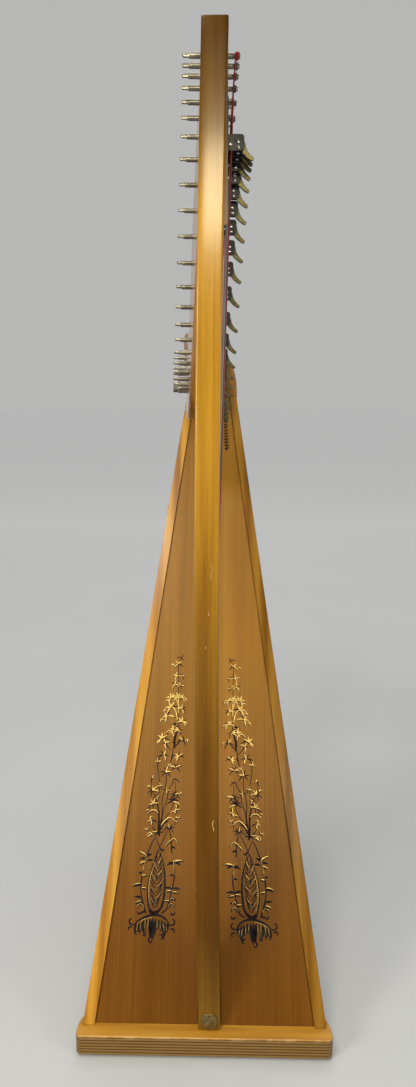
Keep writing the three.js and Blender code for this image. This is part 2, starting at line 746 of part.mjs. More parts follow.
function soundboxGroup() {
  const group = new THREE.Group();
  boxFrame.decompose(group.position, group.quaternion, group.scale);
  group.add(
    soundboard(), ...rims(), ...sides(), backPanel(), bottomBlock(), innerRib(),
    ...liners(), ...backBraces(),
  );
  return group;
}

const pillarBoltPiece = piece('pillar_bolt', pillarBolt(), STEEL());
pillarBoltPiece.position.copy(BOLT_PLACE);

const assembly = new THREE.Group();
assembly.add(
  baseBoard(), ...glides(), pillar(), medallion(), ...medallionNails(), pillarBoltPiece,
  soundboxGroup(), shoulderBlock(), piece('shoulder_bolt', shoulderBoltSolid(0, 0), STEEL()),
  neck(), stringsAndHardware(), ...levers(),
);

// The origin is under the middle of the harp's footprint box.
const extent = new THREE.Box3().setFromObject(assembly, true);
assembly.position.set(
  -(extent.min.x + extent.max.x) / 2, -(extent.min.y + extent.max.y) / 2, -extent.min.z,
);

const harp = new THREE.Group();
harp.add(assembly);

export default harp;
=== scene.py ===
"""A 33-string lever harp: the looks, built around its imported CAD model. Metres, +Z up."""

import random
from contextlib import contextmanager
from math import atan, cos, hypot, pi, radians, sin, sqrt, tan, tau

import bmesh
import bpy
from mathutils import Matrix, Vector


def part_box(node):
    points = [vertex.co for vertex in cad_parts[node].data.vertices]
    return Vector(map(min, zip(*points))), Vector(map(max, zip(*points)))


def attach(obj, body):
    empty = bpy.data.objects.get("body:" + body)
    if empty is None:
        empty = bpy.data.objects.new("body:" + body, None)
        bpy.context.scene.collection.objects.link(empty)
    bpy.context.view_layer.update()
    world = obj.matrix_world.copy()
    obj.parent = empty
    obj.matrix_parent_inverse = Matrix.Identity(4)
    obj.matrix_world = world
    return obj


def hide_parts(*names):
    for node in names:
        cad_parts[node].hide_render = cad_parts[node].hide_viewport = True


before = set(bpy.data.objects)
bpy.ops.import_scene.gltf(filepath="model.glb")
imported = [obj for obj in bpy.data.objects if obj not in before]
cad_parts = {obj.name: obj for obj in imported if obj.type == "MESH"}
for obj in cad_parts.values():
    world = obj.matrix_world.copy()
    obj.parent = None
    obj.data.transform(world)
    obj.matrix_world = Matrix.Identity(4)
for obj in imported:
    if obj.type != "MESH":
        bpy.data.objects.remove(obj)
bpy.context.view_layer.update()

# The design's own measures, in millimetres

MM = 0.001
STRINGS = 33
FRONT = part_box("pillar")[0].y  # the pillar's front face
BASE_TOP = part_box("base_board")[1].z
LEAN = radians(30)  # the soundboard's lean from the vertical
LEAN_SIN, LEAN_COS = sin(LEAN), cos(LEAN)

PILLAR = {"height": 1520, "depth": 38, "foot": 37.4, "top": 36, "arris": 3.2, "top_arris": 2.4}
PILLAR_BOW = (8.53, 0.015927, 1.351e-5)  # its centre's X, as a polynomial of the height
BOX = {
    "foot_depth": 11, "apex": 1614, "half_width": 203.5, "depth": 210, "back_ratio": 0.5,
    "side": 8, "back": 6, "side_top": 1120, "rim_back": 9,
}
RIB = {"half": 7, "thickness": 3, "start": 61.5, "end": 1176}
SOUND_HOLES = [(330, 44, 66), (530, 38, 56), (712, 31, 46), (874, 24, 36)]
NECK = {"start": 38.3, "end": 605, "thick": 36, "swell": 8, "above": 22, "below": 18, "knee": 1270,
        "end_low": 1074, "end_high": 1156, "arris": 4}
NECK_PLAN = [(38, -3), (95, -6.8), (150, -11.8), (205, -19.6), (260, -28), (310, -34.2),
             (400, -43.2), (500, -49.5), (606, -54)]  # the left face's depth and X
PIN_LINE = [(65, 1495), (113, 1471), (162, 1419), (211, 1321), (259, 1209), (306, 1127),
            (357, 1070), (415, 1042), (470, 1056), (520, 1090), (562, 1122)]
LEVER_LINE = [(65, 1384), (114, 1370), (162, 1318), (210, 1236), (257, 1128), (304, 1068),
              (350, 1030), (411, 1005), (486, 1024), (530, 1054), (562, 1081)]
FIRST_PIN, PIN_SPACING, PIN_CLOSING = 65, 16.3, 0.026
FIRST_FOOT, LAST_FOOT = 44, 583  # depths where the first and last strings meet the board
BRIDGE_LIFT = 0.5  # of the way from a lever's pivot up to its tuning pin
STRING_OUT = 8  # a string's distance from the neck's face
INK_LIFT, GILT_LIFT = -0.12, -0.22  # how far the ornament's layers stand off the board
COIL_OUT = 11.2  # where the coil starts; it ends near the pin's tip
PIN_RADIUS = 3.9  # of a tuning pin, under the coil
TIP_OUT = 25.5  # how far a pin's square tip stands out of the neck's left face
PIVOT_OUT = 15.5  # a lever's pivot
LEVER_HALF = 2.4  # half a lever's thickness
CAM_GAP = 0.25  # between a raised cam and its string
JOINT = 0.3  # between two pieces that are glued together
FOOT_LIFT = 4  # a string starts this far under the board's face and leaves as far above it
SHARP = 32  # degrees: edges sharper than this are shaded as edges


def place(x, depth, height):
    """A point of the row frame: depth back from the pillar's face, height above the base."""
    return Vector((x * MM, FRONT + depth * MM, BASE_TOP + height * MM))


def mix(a, b, t):
    return a + (b - a) * t


# Node trees

class Nodes:
    """Short ways to add nodes to a node tree."""

    def __init__(self, tree):
        self.tree = tree

    def feed(self, socket, value):
        """Links another node's output to a socket, or sets the socket to a constant."""
        if isinstance(value, bpy.types.NodeSocket):
            self.tree.links.new(value, socket)
        else:
            socket.default_value = value

    def node(self, kind, **values):
        made = self.tree.nodes.new("ShaderNode" + kind)
        for name, value in values.items():
            self.feed(made.inputs[name.replace("_", " ")], value)
        return made

    def ramp(self, value, *stops):
        """A colour ramp; a stop is a position and a grey level or a colour."""
        made = self.node("ValToRGB", Fac=value)
        elements = made.color_ramp.elements
        while len(elements) < len(stops):
            elements.new(0.5)
        for element, (position, colour) in zip(elements, stops):
            element.position = position
            grey = isinstance(colour, (int, float))
            element.color = (colour, colour, colour, 1) if grey else (*colour, 1)
        return made.outputs["Color"]

    def blend(self, amount, a, b, mode="MIX"):
        made = self.tree.nodes.new("ShaderNodeMix")
        made.data_type = "RGBA"
        made.blend_type = mode
        for index, value in ((0, amount), (6, a), (7, b)):
            self.feed(made.inputs[index], (*value, 1) if isinstance(value, tuple) else value)
        return made.outputs[2]

    def math(self, operation, a, b=0.5):
        made = self.tree.nodes.new("ShaderNodeMath")
        made.operation = operation
        self.feed(made.inputs[0], a)
        self.feed(made.inputs[1], b)
        return made.outputs[0]

    def times(self, a, b):
        return self.math("MULTIPLY", a, b)

    def tinted(self, colour, by):
        return self.blend(1.0, colour, by, "MULTIPLY")

    def spread(self, value, low, high, to_low, to_high):
        """Maps low..high to to_low..to_high."""
        made = self.node("MapRange", Value=value, From_Min=low, From_Max=high, To_Min=to_low,
                         To_Max=to_high)
        return made.outputs["Result"]


# Camera and light

def add(name, data):
    """A new object in the scene."""
    made = bpy.data.objects.new(name, data)
    bpy.context.scene.collection.objects.link(made)
    return made


def add_camera():
    camera = add("camera", bpy.data.cameras.new("camera"))
    camera.data.lens = 26
    camera.data.sensor_width = 36
    camera.location = place(33, -1125, 1042)
    down, aside = 11, 1.35
    camera.rotation_euler = (radians(90 - down), 0, radians(aside))
    bpy.context.scene.camera = camera


def add_softbox(name, at, aim, size, power, colour=(1, 1, 1)):
    light = bpy.data.lights.new(name, "AREA")
    light.shape = "RECTANGLE"
    light.size, light.size_y = size
    light.energy = power
    light.color = colour
    box = add(name, light)
    box.location = at
    box.rotation_euler = (Vector(aim) - Vector(at)).to_track_quat("-Z", "Y").to_euler()


def add_world():
    """A pale studio: darker in front of the harp, lighter behind it, brightest overhead."""
    world = bpy.data.worlds.new("studio")
    world.use_nodes = True
    nodes = Nodes(world.node_tree)
    coords = nodes.node("TexCoord").outputs["Generated"]
    axes = nodes.node("SeparateXYZ", Vector=coords).outputs

    def greys(axis, *stops):
        stops = [(position, (grey, grey, grey * 0.99)) for position, grey in stops]
        return nodes.ramp(nodes.spread(axes[axis], -1, 1, 0, 1), *stops)

    sky = nodes.blend(greys("Z", (0.88, 0.0), (0.99, 1.0)), greys("Y", (0.35, 0.03), (0.78, 0.53)),
                      (2.1, 2.1, 2.12))
    background = nodes.tree.nodes["Background"].inputs
    nodes.feed(background["Color"], sky)
    nodes.feed(background["Strength"], 0.9)
    bpy.context.scene.world = world


def add_lights():
    add_world()
    middle = (0, 0, 0.8)
    add_softbox("front_key", (0.1, -2.9, 1.94), (0, -0.3, 1.2), (0.9, 0.38), 31, (1, 0.92, 0.64))
    add_softbox("left_key", (-1.9, -2.1, 1.3), middle, (0.8, 0.8), 46, (1, 0.96, 0.9))
    add_softbox("right_fill", (2.1, -1.7, 1.15), middle, (0.8, 0.8), 19, (1, 0.97, 0.92))
    add_softbox("board_sheen", (-0.6, -1.6, 2.75), (-0.05, 0, 0.9), (0.5, 0.35), 24,
                (1, 0.95, 0.84))
    add_softbox("back_rim", (0.3, 2.3, 4.0), middle, (1.8, 1.2), 26)
    bpy.context.scene.view_settings.view_transform = "Standard"


# Geometry: a part is (vertices in metres, faces)

def catmull(points, t):
    """A point of a uniform Catmull-Rom curve through all the points."""
    last = len(points) - 1
    at = min(max(t, 0), 1) * last
    i = min(int(at), last - 1)
    w = at - i
    p = [Vector(points[min(max(i + k, 0), last)]) for k in (-1, 0, 1, 2)]
    v0, v1 = (p[2] - p[0]) * 0.5, (p[3] - p[1]) * 0.5
    return ((2 * p[1] - 2 * p[2] + v0 + v1) * w**3
            + (-3 * p[1] + 3 * p[2] - 2 * v0 - v1) * w**2 + v0 * w + p[1])


def even(points, count):
    """The points of a polyline spread evenly along it."""
    pts = [Vector(p) for p in points]
    lengths = [0]
    for a, b in zip(pts, pts[1:]):
        lengths.append(lengths[-1] + (b - a).length)
    out, i = [], 0
    for k in range(count):
        goal = lengths[-1] * k / (count - 1)
        while i < len(pts) - 2 and lengths[i + 1] < goal:
            i += 1
        span = lengths[i + 1] - lengths[i]
        out.append(pts[i].lerp(pts[i + 1], (goal - lengths[i]) / span if span else 0))
    return out


def smooth_line(points, count):
    """The points of a smooth curve through all the points, spread evenly along it."""
    dense = [catmull(points, k / (12 * len(points))) for k in range(12 * len(points) + 1)]
    return even(dense, count)


def height_at(curve, depth):
    """The second coordinate of a curve where its first is the depth given."""
    low, high = 0.0, 1.0
    for _ in range(40):
        middle = (low + high) / 2
        if catmull(curve, middle).x < depth:
            low = middle
        else:
            high = middle
    return catmull(curve, low).y


def loft(rings, close_ends=True):
    """A skin over rings of points."""
    count = len(rings[0])
    verts = [v for ring in rings for v in ring]
    faces = []
    for i in range(len(rings) - 1):
        for k in range(count):
            a, b = i * count + k, i * count + (k + 1) % count
            faces.append((a, b, b + count, a + count))
    if close_ends:
        faces.append(tuple(reversed(range(count))))
        faces.append(tuple(range((len(rings) - 1) * count, len(rings) * count)))
    return verts, faces


def merge(*parts):
    verts, faces = [], []
    for part_verts, part_faces in parts:
        base = len(verts)
        verts += part_verts
        faces += [tuple(i + base for i in face) for face in part_faces]
    return verts, faces


def moved(part, matrix):
    return [matrix @ Vector(v) for v in part[0]], part[1]


def in_mm(part):
    return [Vector(v) * MM for v in part[0]], part[1]


def angles(count):
    """A full turn in equal steps."""
    return [tau * k / count for k in range(count)]


def dome(start, rise, radius, tip, step):
    """The profile of a domed head: it starts at its full radius and ends at its tip's."""
    return [(start + rise * sin(radians(a)), radius * cos(radians(a)) + tip)
            for a in range(0, 91, step)]


def lathe(profile, segments=20):
    """A body turned about X; the profile is (along, radius) in millimetres."""
    rings = []
    for along, radius in profile:
        rings.append([Vector((along, radius * cos(a), radius * sin(a)))
                      for a in angles(segments)])
    return in_mm(loft(rings))


def tube(points, radius):
    """A round bar along points in metres; the radius is in millimetres."""
    pts = [Vector(p) for p in points]
    rings, side = [], None
    for i, point in enumerate(pts):
        along = (pts[min(i + 1, len(pts) - 1)] - pts[max(i - 1, 0)]).normalized()
        side = (side or along.orthogonal()) - along * (side or along.orthogonal()).dot(along)
        side.normalize()
        other = along.cross(side)
        rings.append([
            point + (side * cos(a) + other * sin(a)) * radius * MM
            for a in angles(8)
        ])
    return loft(rings)


def rounded_ring(x0, x1, y0, y1, radius, steps):
    """A rectangle with round corners, as (x, y) pairs, counter-clockwise."""
    centres = [(x1 - radius, y1 - radius, 0), (x0 + radius, y1 - radius, 90),
               (x0 + radius, y0 + radius, 180), (x1 - radius, y0 + radius, 270)]
    return [
        (cx + radius * cos(radians(start + 90 * k / steps)),
         cy + radius * sin(radians(start + 90 * k / steps)))
        for cx, cy, start in centres for k in range(steps + 1)
    ]


def prism(outline, low, high):
    """A plate: an outline of (x, z) in millimetres, from y = low to y = high."""
    rings = [[Vector((x, y, z)) for x, z in outline] for y in (low, high)]
    return in_mm(loft(rings))


def evaluated(made):
    """The mesh that an object's modifiers or curve settings make."""
    bpy.context.view_layer.update()
    seen = made.evaluated_get(bpy.context.evaluated_depsgraph_get())
    return bpy.data.meshes.new_from_object(seen)


def bake(made):
    """Applies an object's modifiers."""
    mesh = evaluated(made)
    made.modifiers.clear()
    made.data = mesh


@contextmanager
def reshaping(mesh, source=None):
    """A bmesh of a mesh, or of another one, that is written to the mesh at the end."""
    shape = bmesh.new()
    shape.from_mesh(source or mesh)
    yield shape
    shape.to_mesh(mesh)
    shape.free()


def shade(mesh, angle):
    """Smooth shading, with a sharp edge wherever faces meet at more than the angle."""
    mesh.polygons.foreach_set("use_smooth", [True] * len(mesh.polygons))
    mesh.set_sharp_from_angle(angle=radians(angle))


def dress(made, look, body="root", node=None):
    """Gives a piece its material and slot; it rides on a body and may replace a CAD node."""
    made.data.materials.clear()
    made.data.materials.append(MATERIALS[look])
    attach(made, body)
    if node:
        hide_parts(node)


def piece(name, part, look, node=None, body="root", bevel=0, angle=SHARP):
    """A new mesh object from vertices and faces."""
    mesh = bpy.data.meshes.new(name)
    mesh.from_pydata([tuple(v) for v in part[0]], [], part[1])
    with reshaping(mesh) as shape:
        bmesh.ops.recalc_face_normals(shape, faces=shape.faces)
    made = add(name, mesh)
    if bevel:
        round_edges(made, bevel)
    else:
        shade(mesh, angle)
    dress(made, look, body, node)


def round_edges(made, width):
    """Rounds every sharp edge and keeps the flat faces flat."""
    modifier = made.modifiers.new("bevel", "BEVEL")
    modifier.width = width * MM
    modifier.segments = 3
    modifier.limit_method = "ANGLE"
    modifier.angle_limit = radians(28)
    modifier.use_clamp_overlap = True
    bake(made)


def rounded_copy(node, look, width, ending="_wood"):
    """A CAD node's own shape with its facets joined up and its arrises rounded."""
    mesh = bpy.data.meshes.new(node + ending)
    with reshaping(mesh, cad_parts[node].data) as shape:
        bmesh.ops.remove_doubles(shape, verts=shape.verts, dist=1e-6)
        bmesh.ops.dissolve_limit(
            shape, angle_limit=radians(1), verts=shape.verts, edges=shape.edges)
    made = add(node + ending, mesh)
    round_edges(made, width)
    shade(made.data, 50)
    made.modifiers.new("normals", "WEIGHTED_NORMAL").keep_sharp = True
    dress(made, look, node=node)


# Materials

class Shader(Nodes):
    """A principled material."""

    def __init__(self, name):
        self.material = bpy.data.materials.new(name)
        self.material.use_nodes = True
        super().__init__(self.material.node_tree)
        self.surface = self.tree.nodes["Principled BSDF"]

    def set(self, **values):
        for name, value in values.items():
            self.surface.inputs[name.replace("_", " ")].default_value = value

    def wire(self, output, name):
        self.tree.links.new(output, self.surface.inputs[name.replace("_", " ")])

    def place(self, scale=(1, 1, 1), turn=0.0):
        """The piece's own coordinates, turned about X and scaled."""
        coords = self.node("TexCoord").outputs["Object"]
        turned = self.node("Mapping", Vector=coords, Rotation=(turn, 0, 0)).outputs["Vector"]
        return self.node("Mapping", Vector=turned, Scale=scale).outputs["Vector"]

    def axis(self, name):
        return self.node("SeparateXYZ", Vector=self.place()).outputs[name]

    def noise(self, vector, scale, detail, rough=0.55, distortion=0.0):
        made = self.node("TexNoise", Vector=vector, Scale=scale, Detail=detail, Roughness=rough,
                         Distortion=distortion)
        return made.outputs["Fac"]

    def wave(self, vector, scale, distortion, detail, detail_scale, axis="X"):
        made = self.node("TexWave", Vector=vector, Scale=scale, Distortion=distortion,
                         Detail=detail, Detail_Scale=detail_scale)
        made.bands_direction = axis
        return made.outputs["Fac"]

    def scratch(self, x, height, length, width):
        """Where a fine upright scratch has broken the varnish, in millimetres."""
        across, up = self.axis("X"), self.axis("Z")
        wander = self.times(self.math("SINE", self.times(up, 330)), 0.9 * MM)
        aside = self.math("ABSOLUTE", self.math(
            "SUBTRACT", self.math("SUBTRACT", across, x * MM), wander))
        along = self.math("ABSOLUTE", self.math("SUBTRACT", up, BASE_TOP + height * MM))
        narrow = self.spread(aside, 0.4 * width * MM, 0.6 * width * MM, 1, 0)
        short = self.spread(along, 0.35 * length * MM, 0.5 * length * MM, 1, 0)
        broken = self.ramp(self.noise(self.place(), 700, 3), (0.35, 0.3), (0.5, 1.0))
        return self.times(self.times(narrow, short), broken)

    def bump(self, height, strength, distance=0.0004):
        made = self.node("Bump", Height=height, Strength=strength, Distance=distance)
        self.wire(made.outputs["Normal"], "Normal")


def wood(name, dark, middle, light, turn=0.0, rough=(0.24, 0.34), ring=9.0, specular=0.28,
         bands=0.38, coat=0.0, gloss=0.12, painted_light_and_shade=(), scratches=(), dull=None):
    """Varnished wood with its grain along Z, turned with the piece by the angle given.

    The ramp of tones up the pillar is painted light and shade; dull is (axis, start, end, least):
    the varnish loses its gloss along that axis from end to start, down to the least share of it.
    """
    s = Shader(name)
    fibre = s.place((1, 1, 0.035), turn)
    broad = s.place((1, 1, 0.16), turn)
    figure = s.noise(fibre, 55, 7, 0.62, 0.3)
    growth = s.wave(fibre, ring, 7.0, 3.0, 1.6)
    fine = s.noise(s.place((1, 1, 0.012), turn), 420, 3, 0.6)
    grain = s.blend(0.22, s.blend(bands, figure, growth), fine)
    colour = s.ramp(grain, (0.3, dark), (0.52, middle), (0.74, light))
    patches = s.ramp(s.noise(broad, 4.5, 3, 0.5), (0.3, 0.72), (0.7, 1.12))
    colour = s.blend(0.35, colour, s.tinted(colour, patches))
    pore = s.ramp(s.noise(s.place((1, 1, 0.02), turn), 900, 2, 0.5), (0.6, 0.0), (0.72, 1.0))
    colour = s.blend(s.times(pore, 0.35), colour, dark)
    # Painted light and shade: a ramp up the pillar darkens its foot and top as painted shade, greys
    # the very foot as a painted reflection of the floor, and lifts the upper middle as painted
    # light.
    if painted_light_and_shade:
        share = s.spread(s.axis("Z"), BASE_TOP, BASE_TOP + PILLAR["height"] * MM, 0, 1)
        colour = s.tinted(colour, s.ramp(share, *painted_light_and_shade))
    for scratch in scratches:
        colour = s.blend(s.scratch(*scratch), colour, (0.62, 0.42, 0.2))
    s.wire(colour, "Base Color")
    handling = s.noise(s.place((1, 1, 0.5), turn), 9, 5, 0.6)
    s.wire(s.spread(handling, 0.3, 0.7, *rough), "Roughness")
    if dull:
        axis, start, end, least = dull
        s.wire(s.spread(s.axis(axis), start, end, coat * least, coat), "Coat_Weight")
    else:
        s.set(Coat_Weight=coat)
    s.set(Specular_IOR_Level=specular, Coat_Roughness=gloss)
    s.bump(s.blend(0.4, grain, pore), 0.18)
    return s.material


def soundboard_wood():
    """Straight fine softwood grain under a warm varnish; painted shade darkens and browns the foot.
    """
    s = Shader("soundboard_wood")
    fibre = s.place((1, 1, 0.01), LEAN)
    lines = s.wave(fibre, 71, 4.5, 3.0, 0.6)
    streaks = s.noise(fibre, 26, 7, 0.68)
    hairs = s.noise(s.place((1, 1, 0.006), LEAN), 330, 4, 0.6)
    grain = s.blend(0.07, streaks, lines)
    grain = s.blend(0.34, grain, hairs)
    colour = s.ramp(grain, (0.3, (0.195, 0.08, 0.005)), (0.5, (0.285, 0.13, 0.01)),
                    (0.7, (0.375, 0.188, 0.02)))
    up = s.axis("Z")
    # Painted shade: the colour halves towards the foot and loses some green there, turning browner.
    foot = s.spread(up, BASE_TOP + 0.1, BASE_TOP + 0.55, 0.5, 1.0)
    tone = s.times(foot, s.spread(
        s.noise(s.place((1, 1, 0.2), LEAN), 6, 3, 0.5), 0.3, 0.7, 0.86, 1.1))
    green = s.times(tone, s.spread(up, BASE_TOP + 0.1, BASE_TOP + 0.5, 0.8, 0.98))
    mixed = s.node("CombineXYZ", X=tone, Y=green, Z=tone).outputs["Vector"]
    colour = s.tinted(colour, mixed)
    s.wire(colour, "Base Color")
    s.wire(s.spread(s.noise(s.place(), 12, 5), 0.3, 0.7, 0.34, 0.46), "Roughness")
    s.wire(s.spread(up, BASE_TOP + 0.05, BASE_TOP + 0.5, 0.0, 0.3), "Coat_Weight")
    s.set(Specular_IOR_Level=0.06, Coat_Roughness=0.4)
    s.bump(grain, 0.06, 0.0003)
    return s.material


def plywood():
    """A golden veneer on top; light and dark plies show at the edge."""
    s = Shader("base_plywood")
    coords = s.place()
    ply = s.wave(coords, 58.0, 0.25, 1.0, 6.0, "Z")
    streaks = s.noise(s.place((0.06, 0.06, 1)), 240, 5, 0.65)
    edge_tone = s.blend(0.35, ply, streaks)
    edge = s.ramp(edge_tone, (0.18, (0.055, 0.022, 0.003)), (0.42, (0.165, 0.083, 0.013)),
                  (0.75, (0.255, 0.142, 0.034)))
    figure = s.noise(s.place((0.05, 1, 1)), 60, 7, 0.6, 0.4)
    veneer = s.ramp(figure, (0.3, (0.27, 0.115, 0.008)), (0.52, (0.385, 0.18, 0.014)),
                    (0.75, (0.49, 0.25, 0.03)))
    normal = s.node("NewGeometry").outputs["Normal"]
    upright = s.node("SeparateXYZ", Vector=normal).outputs["Z"]
    colour = s.blend(s.ramp(upright, (0.35, 0), (0.7, 1)), edge, veneer)
    near_top = s.spread(s.axis("Z"), BASE_TOP - 0.005, BASE_TOP - 0.0005, 0, 1)
    wear = s.ramp(s.noise(coords, 45, 6, 0.7), (0.42, 0.0), (0.6, 1.0))
    worn = s.times(s.times(near_top, wear), 0.55)
    worn = s.times(worn, s.ramp(upright, (0.9, 1.0), (0.999, 0.0)))
    colour = s.blend(worn, colour, (0.5, 0.34, 0.15))
    s.wire(colour, "Base Color")
    s.wire(s.spread(s.noise(coords, 20, 5), 0.3, 0.7, 0.32, 0.5), "Roughness")
    s.set(Specular_IOR_Level=0.35)
    s.bump(s.blend(0.5, edge_tone, figure), 0.2, 0.0004)
    return s.material


def metal(name, dark, light, rough, scale=240, bump=0.08, metallic=1.0):
    """Worn metal: tarnish in patches and uneven polish."""
    s = Shader(name)
    tarnish = s.noise(s.place(), scale, 6, 0.65)
    s.wire(s.ramp(tarnish, (0.32, dark), (0.66, light)), "Base Color")
    polish = s.noise(s.place(), scale * 2.3, 5, 0.6)
    s.wire(s.spread(polish, 0.3, 0.7, *rough), "Roughness")
    s.set(Metallic=metallic)
    s.bump(tarnish, bump, 0.0002)
    return s.material


def string_gut(name, dark, light, rough=0.3, through=0.0, wound=False):
    """Nylon or gut with a faint change of tone; a wound string shows its windings."""
    s = Shader(name)
    tone = s.noise(s.place((1, 1, 0.15)), 300, 4, 0.6)
    s.wire(s.ramp(tone, (0.35, dark), (0.65, light)), "Base Color")
    s.set(Roughness=rough, Transmission_Weight=through)
    if wound:
        s.bump(s.wave(s.place(), 520, 0, 0, 1, "Z"), 0.7, 0.0002)
    return s.material


def enamel(name, colour, rough, specular):
    """Enamel, rubber or ink, a little dusty and uneven."""
    s = Shader(name)
    dust = s.noise(s.place(), 160, 6, 0.65)
    lighter = tuple(min(1, c * 1.8 + 0.012) for c in colour)
    s.wire(s.ramp(dust, (0.4, colour), (0.75, lighter)), "Base Color")
    s.wire(s.spread(s.noise(s.place(), 90, 4), 0.3, 0.7, *rough), "Roughness")
    s.set(Specular_IOR_Level=specular)
    s.bump(dust, 0.05, 0.0002)
    return s.material


def make_materials():
    gold = ((0.215, 0.092, 0.005), (0.37, 0.185, 0.012), (0.5, 0.285, 0.028))
    brown = ((0.125, 0.045, 0.004), (0.225, 0.09, 0.009), (0.32, 0.145, 0.02))
    rim = ((0.26, 0.1, 0.006), (0.43, 0.195, 0.016), (0.57, 0.295, 0.036))
    # The rims are lit and shaded copies of one wood: the right rim's darker colours are painted
    # shade.
    painted_shade_rim = ((0.135, 0.052, 0.003), (0.225, 0.1, 0.009), (0.31, 0.155, 0.019))
    raw = ((0.36, 0.22, 0.1), (0.52, 0.35, 0.18), (0.62, 0.45, 0.26))
    return {
        "pillar": wood(
            "pillar_wood", *gold, coat=0.5, bands=0.14, gloss=0.15, specular=0.1,
            # painted light and shade up the pillar: darker foot and top, a lighter band between
            painted_light_and_shade=((0.02, (0.5, 0.48, 0.6)), (0.12, (0.27, 0.2, 0.05)),
                    (0.32, (0.35, 0.28, 0.06)), (0.48, (0.73, 0.67, 0.45)), (0.62, 1.08),
                    (0.84, 1.05), (0.91, (0.34, 0.3, 0.3)), (0.98, (0.17, 0.14, 0.13))),
            scratches=((14.4, 372, 21, 1.0), (8.0, 716, 5, 0.8), (3.0, 664, 3, 1.0),
                       (11.5, 782, 30, 0.5)), dull=("Z", 0.42, 0.95, 0.12)),
        "neck": wood("neck_wood", *brown, coat=1.0, gloss=0.03, turn=radians(-20),
                     specular=0.14, dull=("Y", -0.296, -0.27, 0.03)),
        "shoulder": wood("shoulder_wood", *brown, coat=0.3, turn=radians(20)),
        "rim_left": wood("rim_left_wood", *rim, turn=LEAN, coat=0.15),
        # painted shade: the right rim takes the darker copy of the rim wood
        "rim_right": wood("rim_right_wood", *painted_shade_rim, turn=LEAN, specular=0.12),
        "side": wood("side_wood", *brown, turn=LEAN, coat=0.25, ring=5),
        "board": soundboard_wood(),
        "base": plywood(),
        "raw": wood("inner_wood", *raw, turn=LEAN, rough=(0.6, 0.75), specular=0.25),
        "rib": wood("rib_wood", *brown, turn=LEAN, ring=16),
        "pin": metal("pin_steel", (0.12, 0.11, 0.09), (0.26, 0.24, 0.2), (0.26, 0.38), 60,
                     bump=0.02),
        "steel": metal("bright_steel", (0.36, 0.35, 0.33), (0.62, 0.61, 0.58), (0.15, 0.3)),
        "nail": metal("nail_steel", (0.02, 0.018, 0.015), (0.09, 0.085, 0.075), (0.3, 0.5), 160),
        "brass": metal("lever_brass", (0.065, 0.056, 0.026), (0.145, 0.126, 0.066), (0.34, 0.5),
                       220),
        "eyelet": metal("eyelet_brass", (0.35, 0.24, 0.08), (0.62, 0.45, 0.18), (0.2, 0.35)),
        "medallion": metal("medallion_brass", (0.13, 0.095, 0.032), (0.36, 0.28, 0.11),
                           (0.3, 0.5), 130, bump=0.2),
        "red": string_gut("string_red", (0.16, 0.004, 0.006), (0.26, 0.012, 0.014)),
        "black": string_gut("string_black", (0.006, 0.006, 0.008), (0.02, 0.02, 0.024)),
        "clear": string_gut("string_clear", (0.55, 0.5, 0.4), (0.7, 0.66, 0.56), 0.2, 0.55),
        "wound": string_gut("string_wound", (0.05, 0.045, 0.04), (0.13, 0.115, 0.09), 0.35,
                            wound=True),
        "enamel": enamel("black_enamel", (0.006, 0.006, 0.006), (0.34, 0.5), 0.3),
        "rubber": enamel("glide_rubber", (0.012, 0.012, 0.012), (0.6, 0.8), 0.3),
        "gilt": metal("ornament_gilt", (0.3, 0.17, 0.035), (0.66, 0.47, 0.15), (0.32, 0.5),
                      420, metallic=0.7),
        "ink": enamel("ornament_ink", (0.007, 0.004, 0.004), (0.5, 0.65), 0.1),
    }


MATERIALS = make_materials()


# The neck's faces

PLAN_START = 36
PLAN_TABLE = [height_at(NECK_PLAN, depth) for depth in range(PLAN_START, 608)]


def neck_left(depth):
    """X of the neck's left face."""
    at = min(max(depth - PLAN_START, 0), len(PLAN_TABLE) - 1.001)
    return mix(PLAN_TABLE[int(at)], PLAN_TABLE[int(at) + 1], at % 1)


def neck_right(depth):
    """X of its right face; the neck is a little thicker towards the shoulder."""
    front = PILLAR["depth"]
    return (neck_left(depth) + NECK["thick"]
            + NECK["swell"] * (depth - front) / (NECK["end"] - front))


def neck_frame(depth, height):
    """X out of the neck's right face, Y back along it, Z up."""
    slope = (neck_right(depth + 1) - neck_right(depth - 1)) / 2
    turn = Matrix.Rotation(-atan(slope), 4, "Z")
    return Matrix.Translation(place(neck_right(depth), depth, height)) @ turn


def station(index):
    """Everything that is set out string by string."""
    pin_depth = FIRST_PIN + PIN_SPACING * index - PIN_CLOSING * index * index
    pin_height = height_at(PIN_LINE, pin_depth)
    pivot_height = height_at(LEVER_LINE, pin_depth)
    along = index / (STRINGS - 1)
    foot_depth = mix(FIRST_FOOT, LAST_FOOT, along)
    foot_height = (foot_depth - BOX["foot_depth"]) / tan(LEAN)
    bridge_height = mix(pivot_height, pin_height, BRIDGE_LIFT)

    def depth_at(height):
        low = foot_height + FOOT_LIFT
        return mix(foot_depth, pin_depth, (height - low) / (pin_height - low))

    return {  # the frames are at each thing's middle, on the neck's right face
        "name": f"{index + 1:02d}",
        "foot": (foot_depth, foot_height),
        "pin": neck_frame(pin_depth, pin_height),
        "pivot": neck_frame(depth_at(pivot_height), pivot_height),
        "bridge": neck_frame(depth_at(bridge_height), bridge_height),
        "pin_through": neck_right(pin_depth) - neck_left(pin_depth),
        "radius": mix(1.0, 0.4, sqrt(along)),
    }


def local(matrix, x, y, z):
    """A point given in millimetres in a station's own axes."""
    return matrix @ Vector((x * MM, y * MM, z * MM))


# Frame pieces

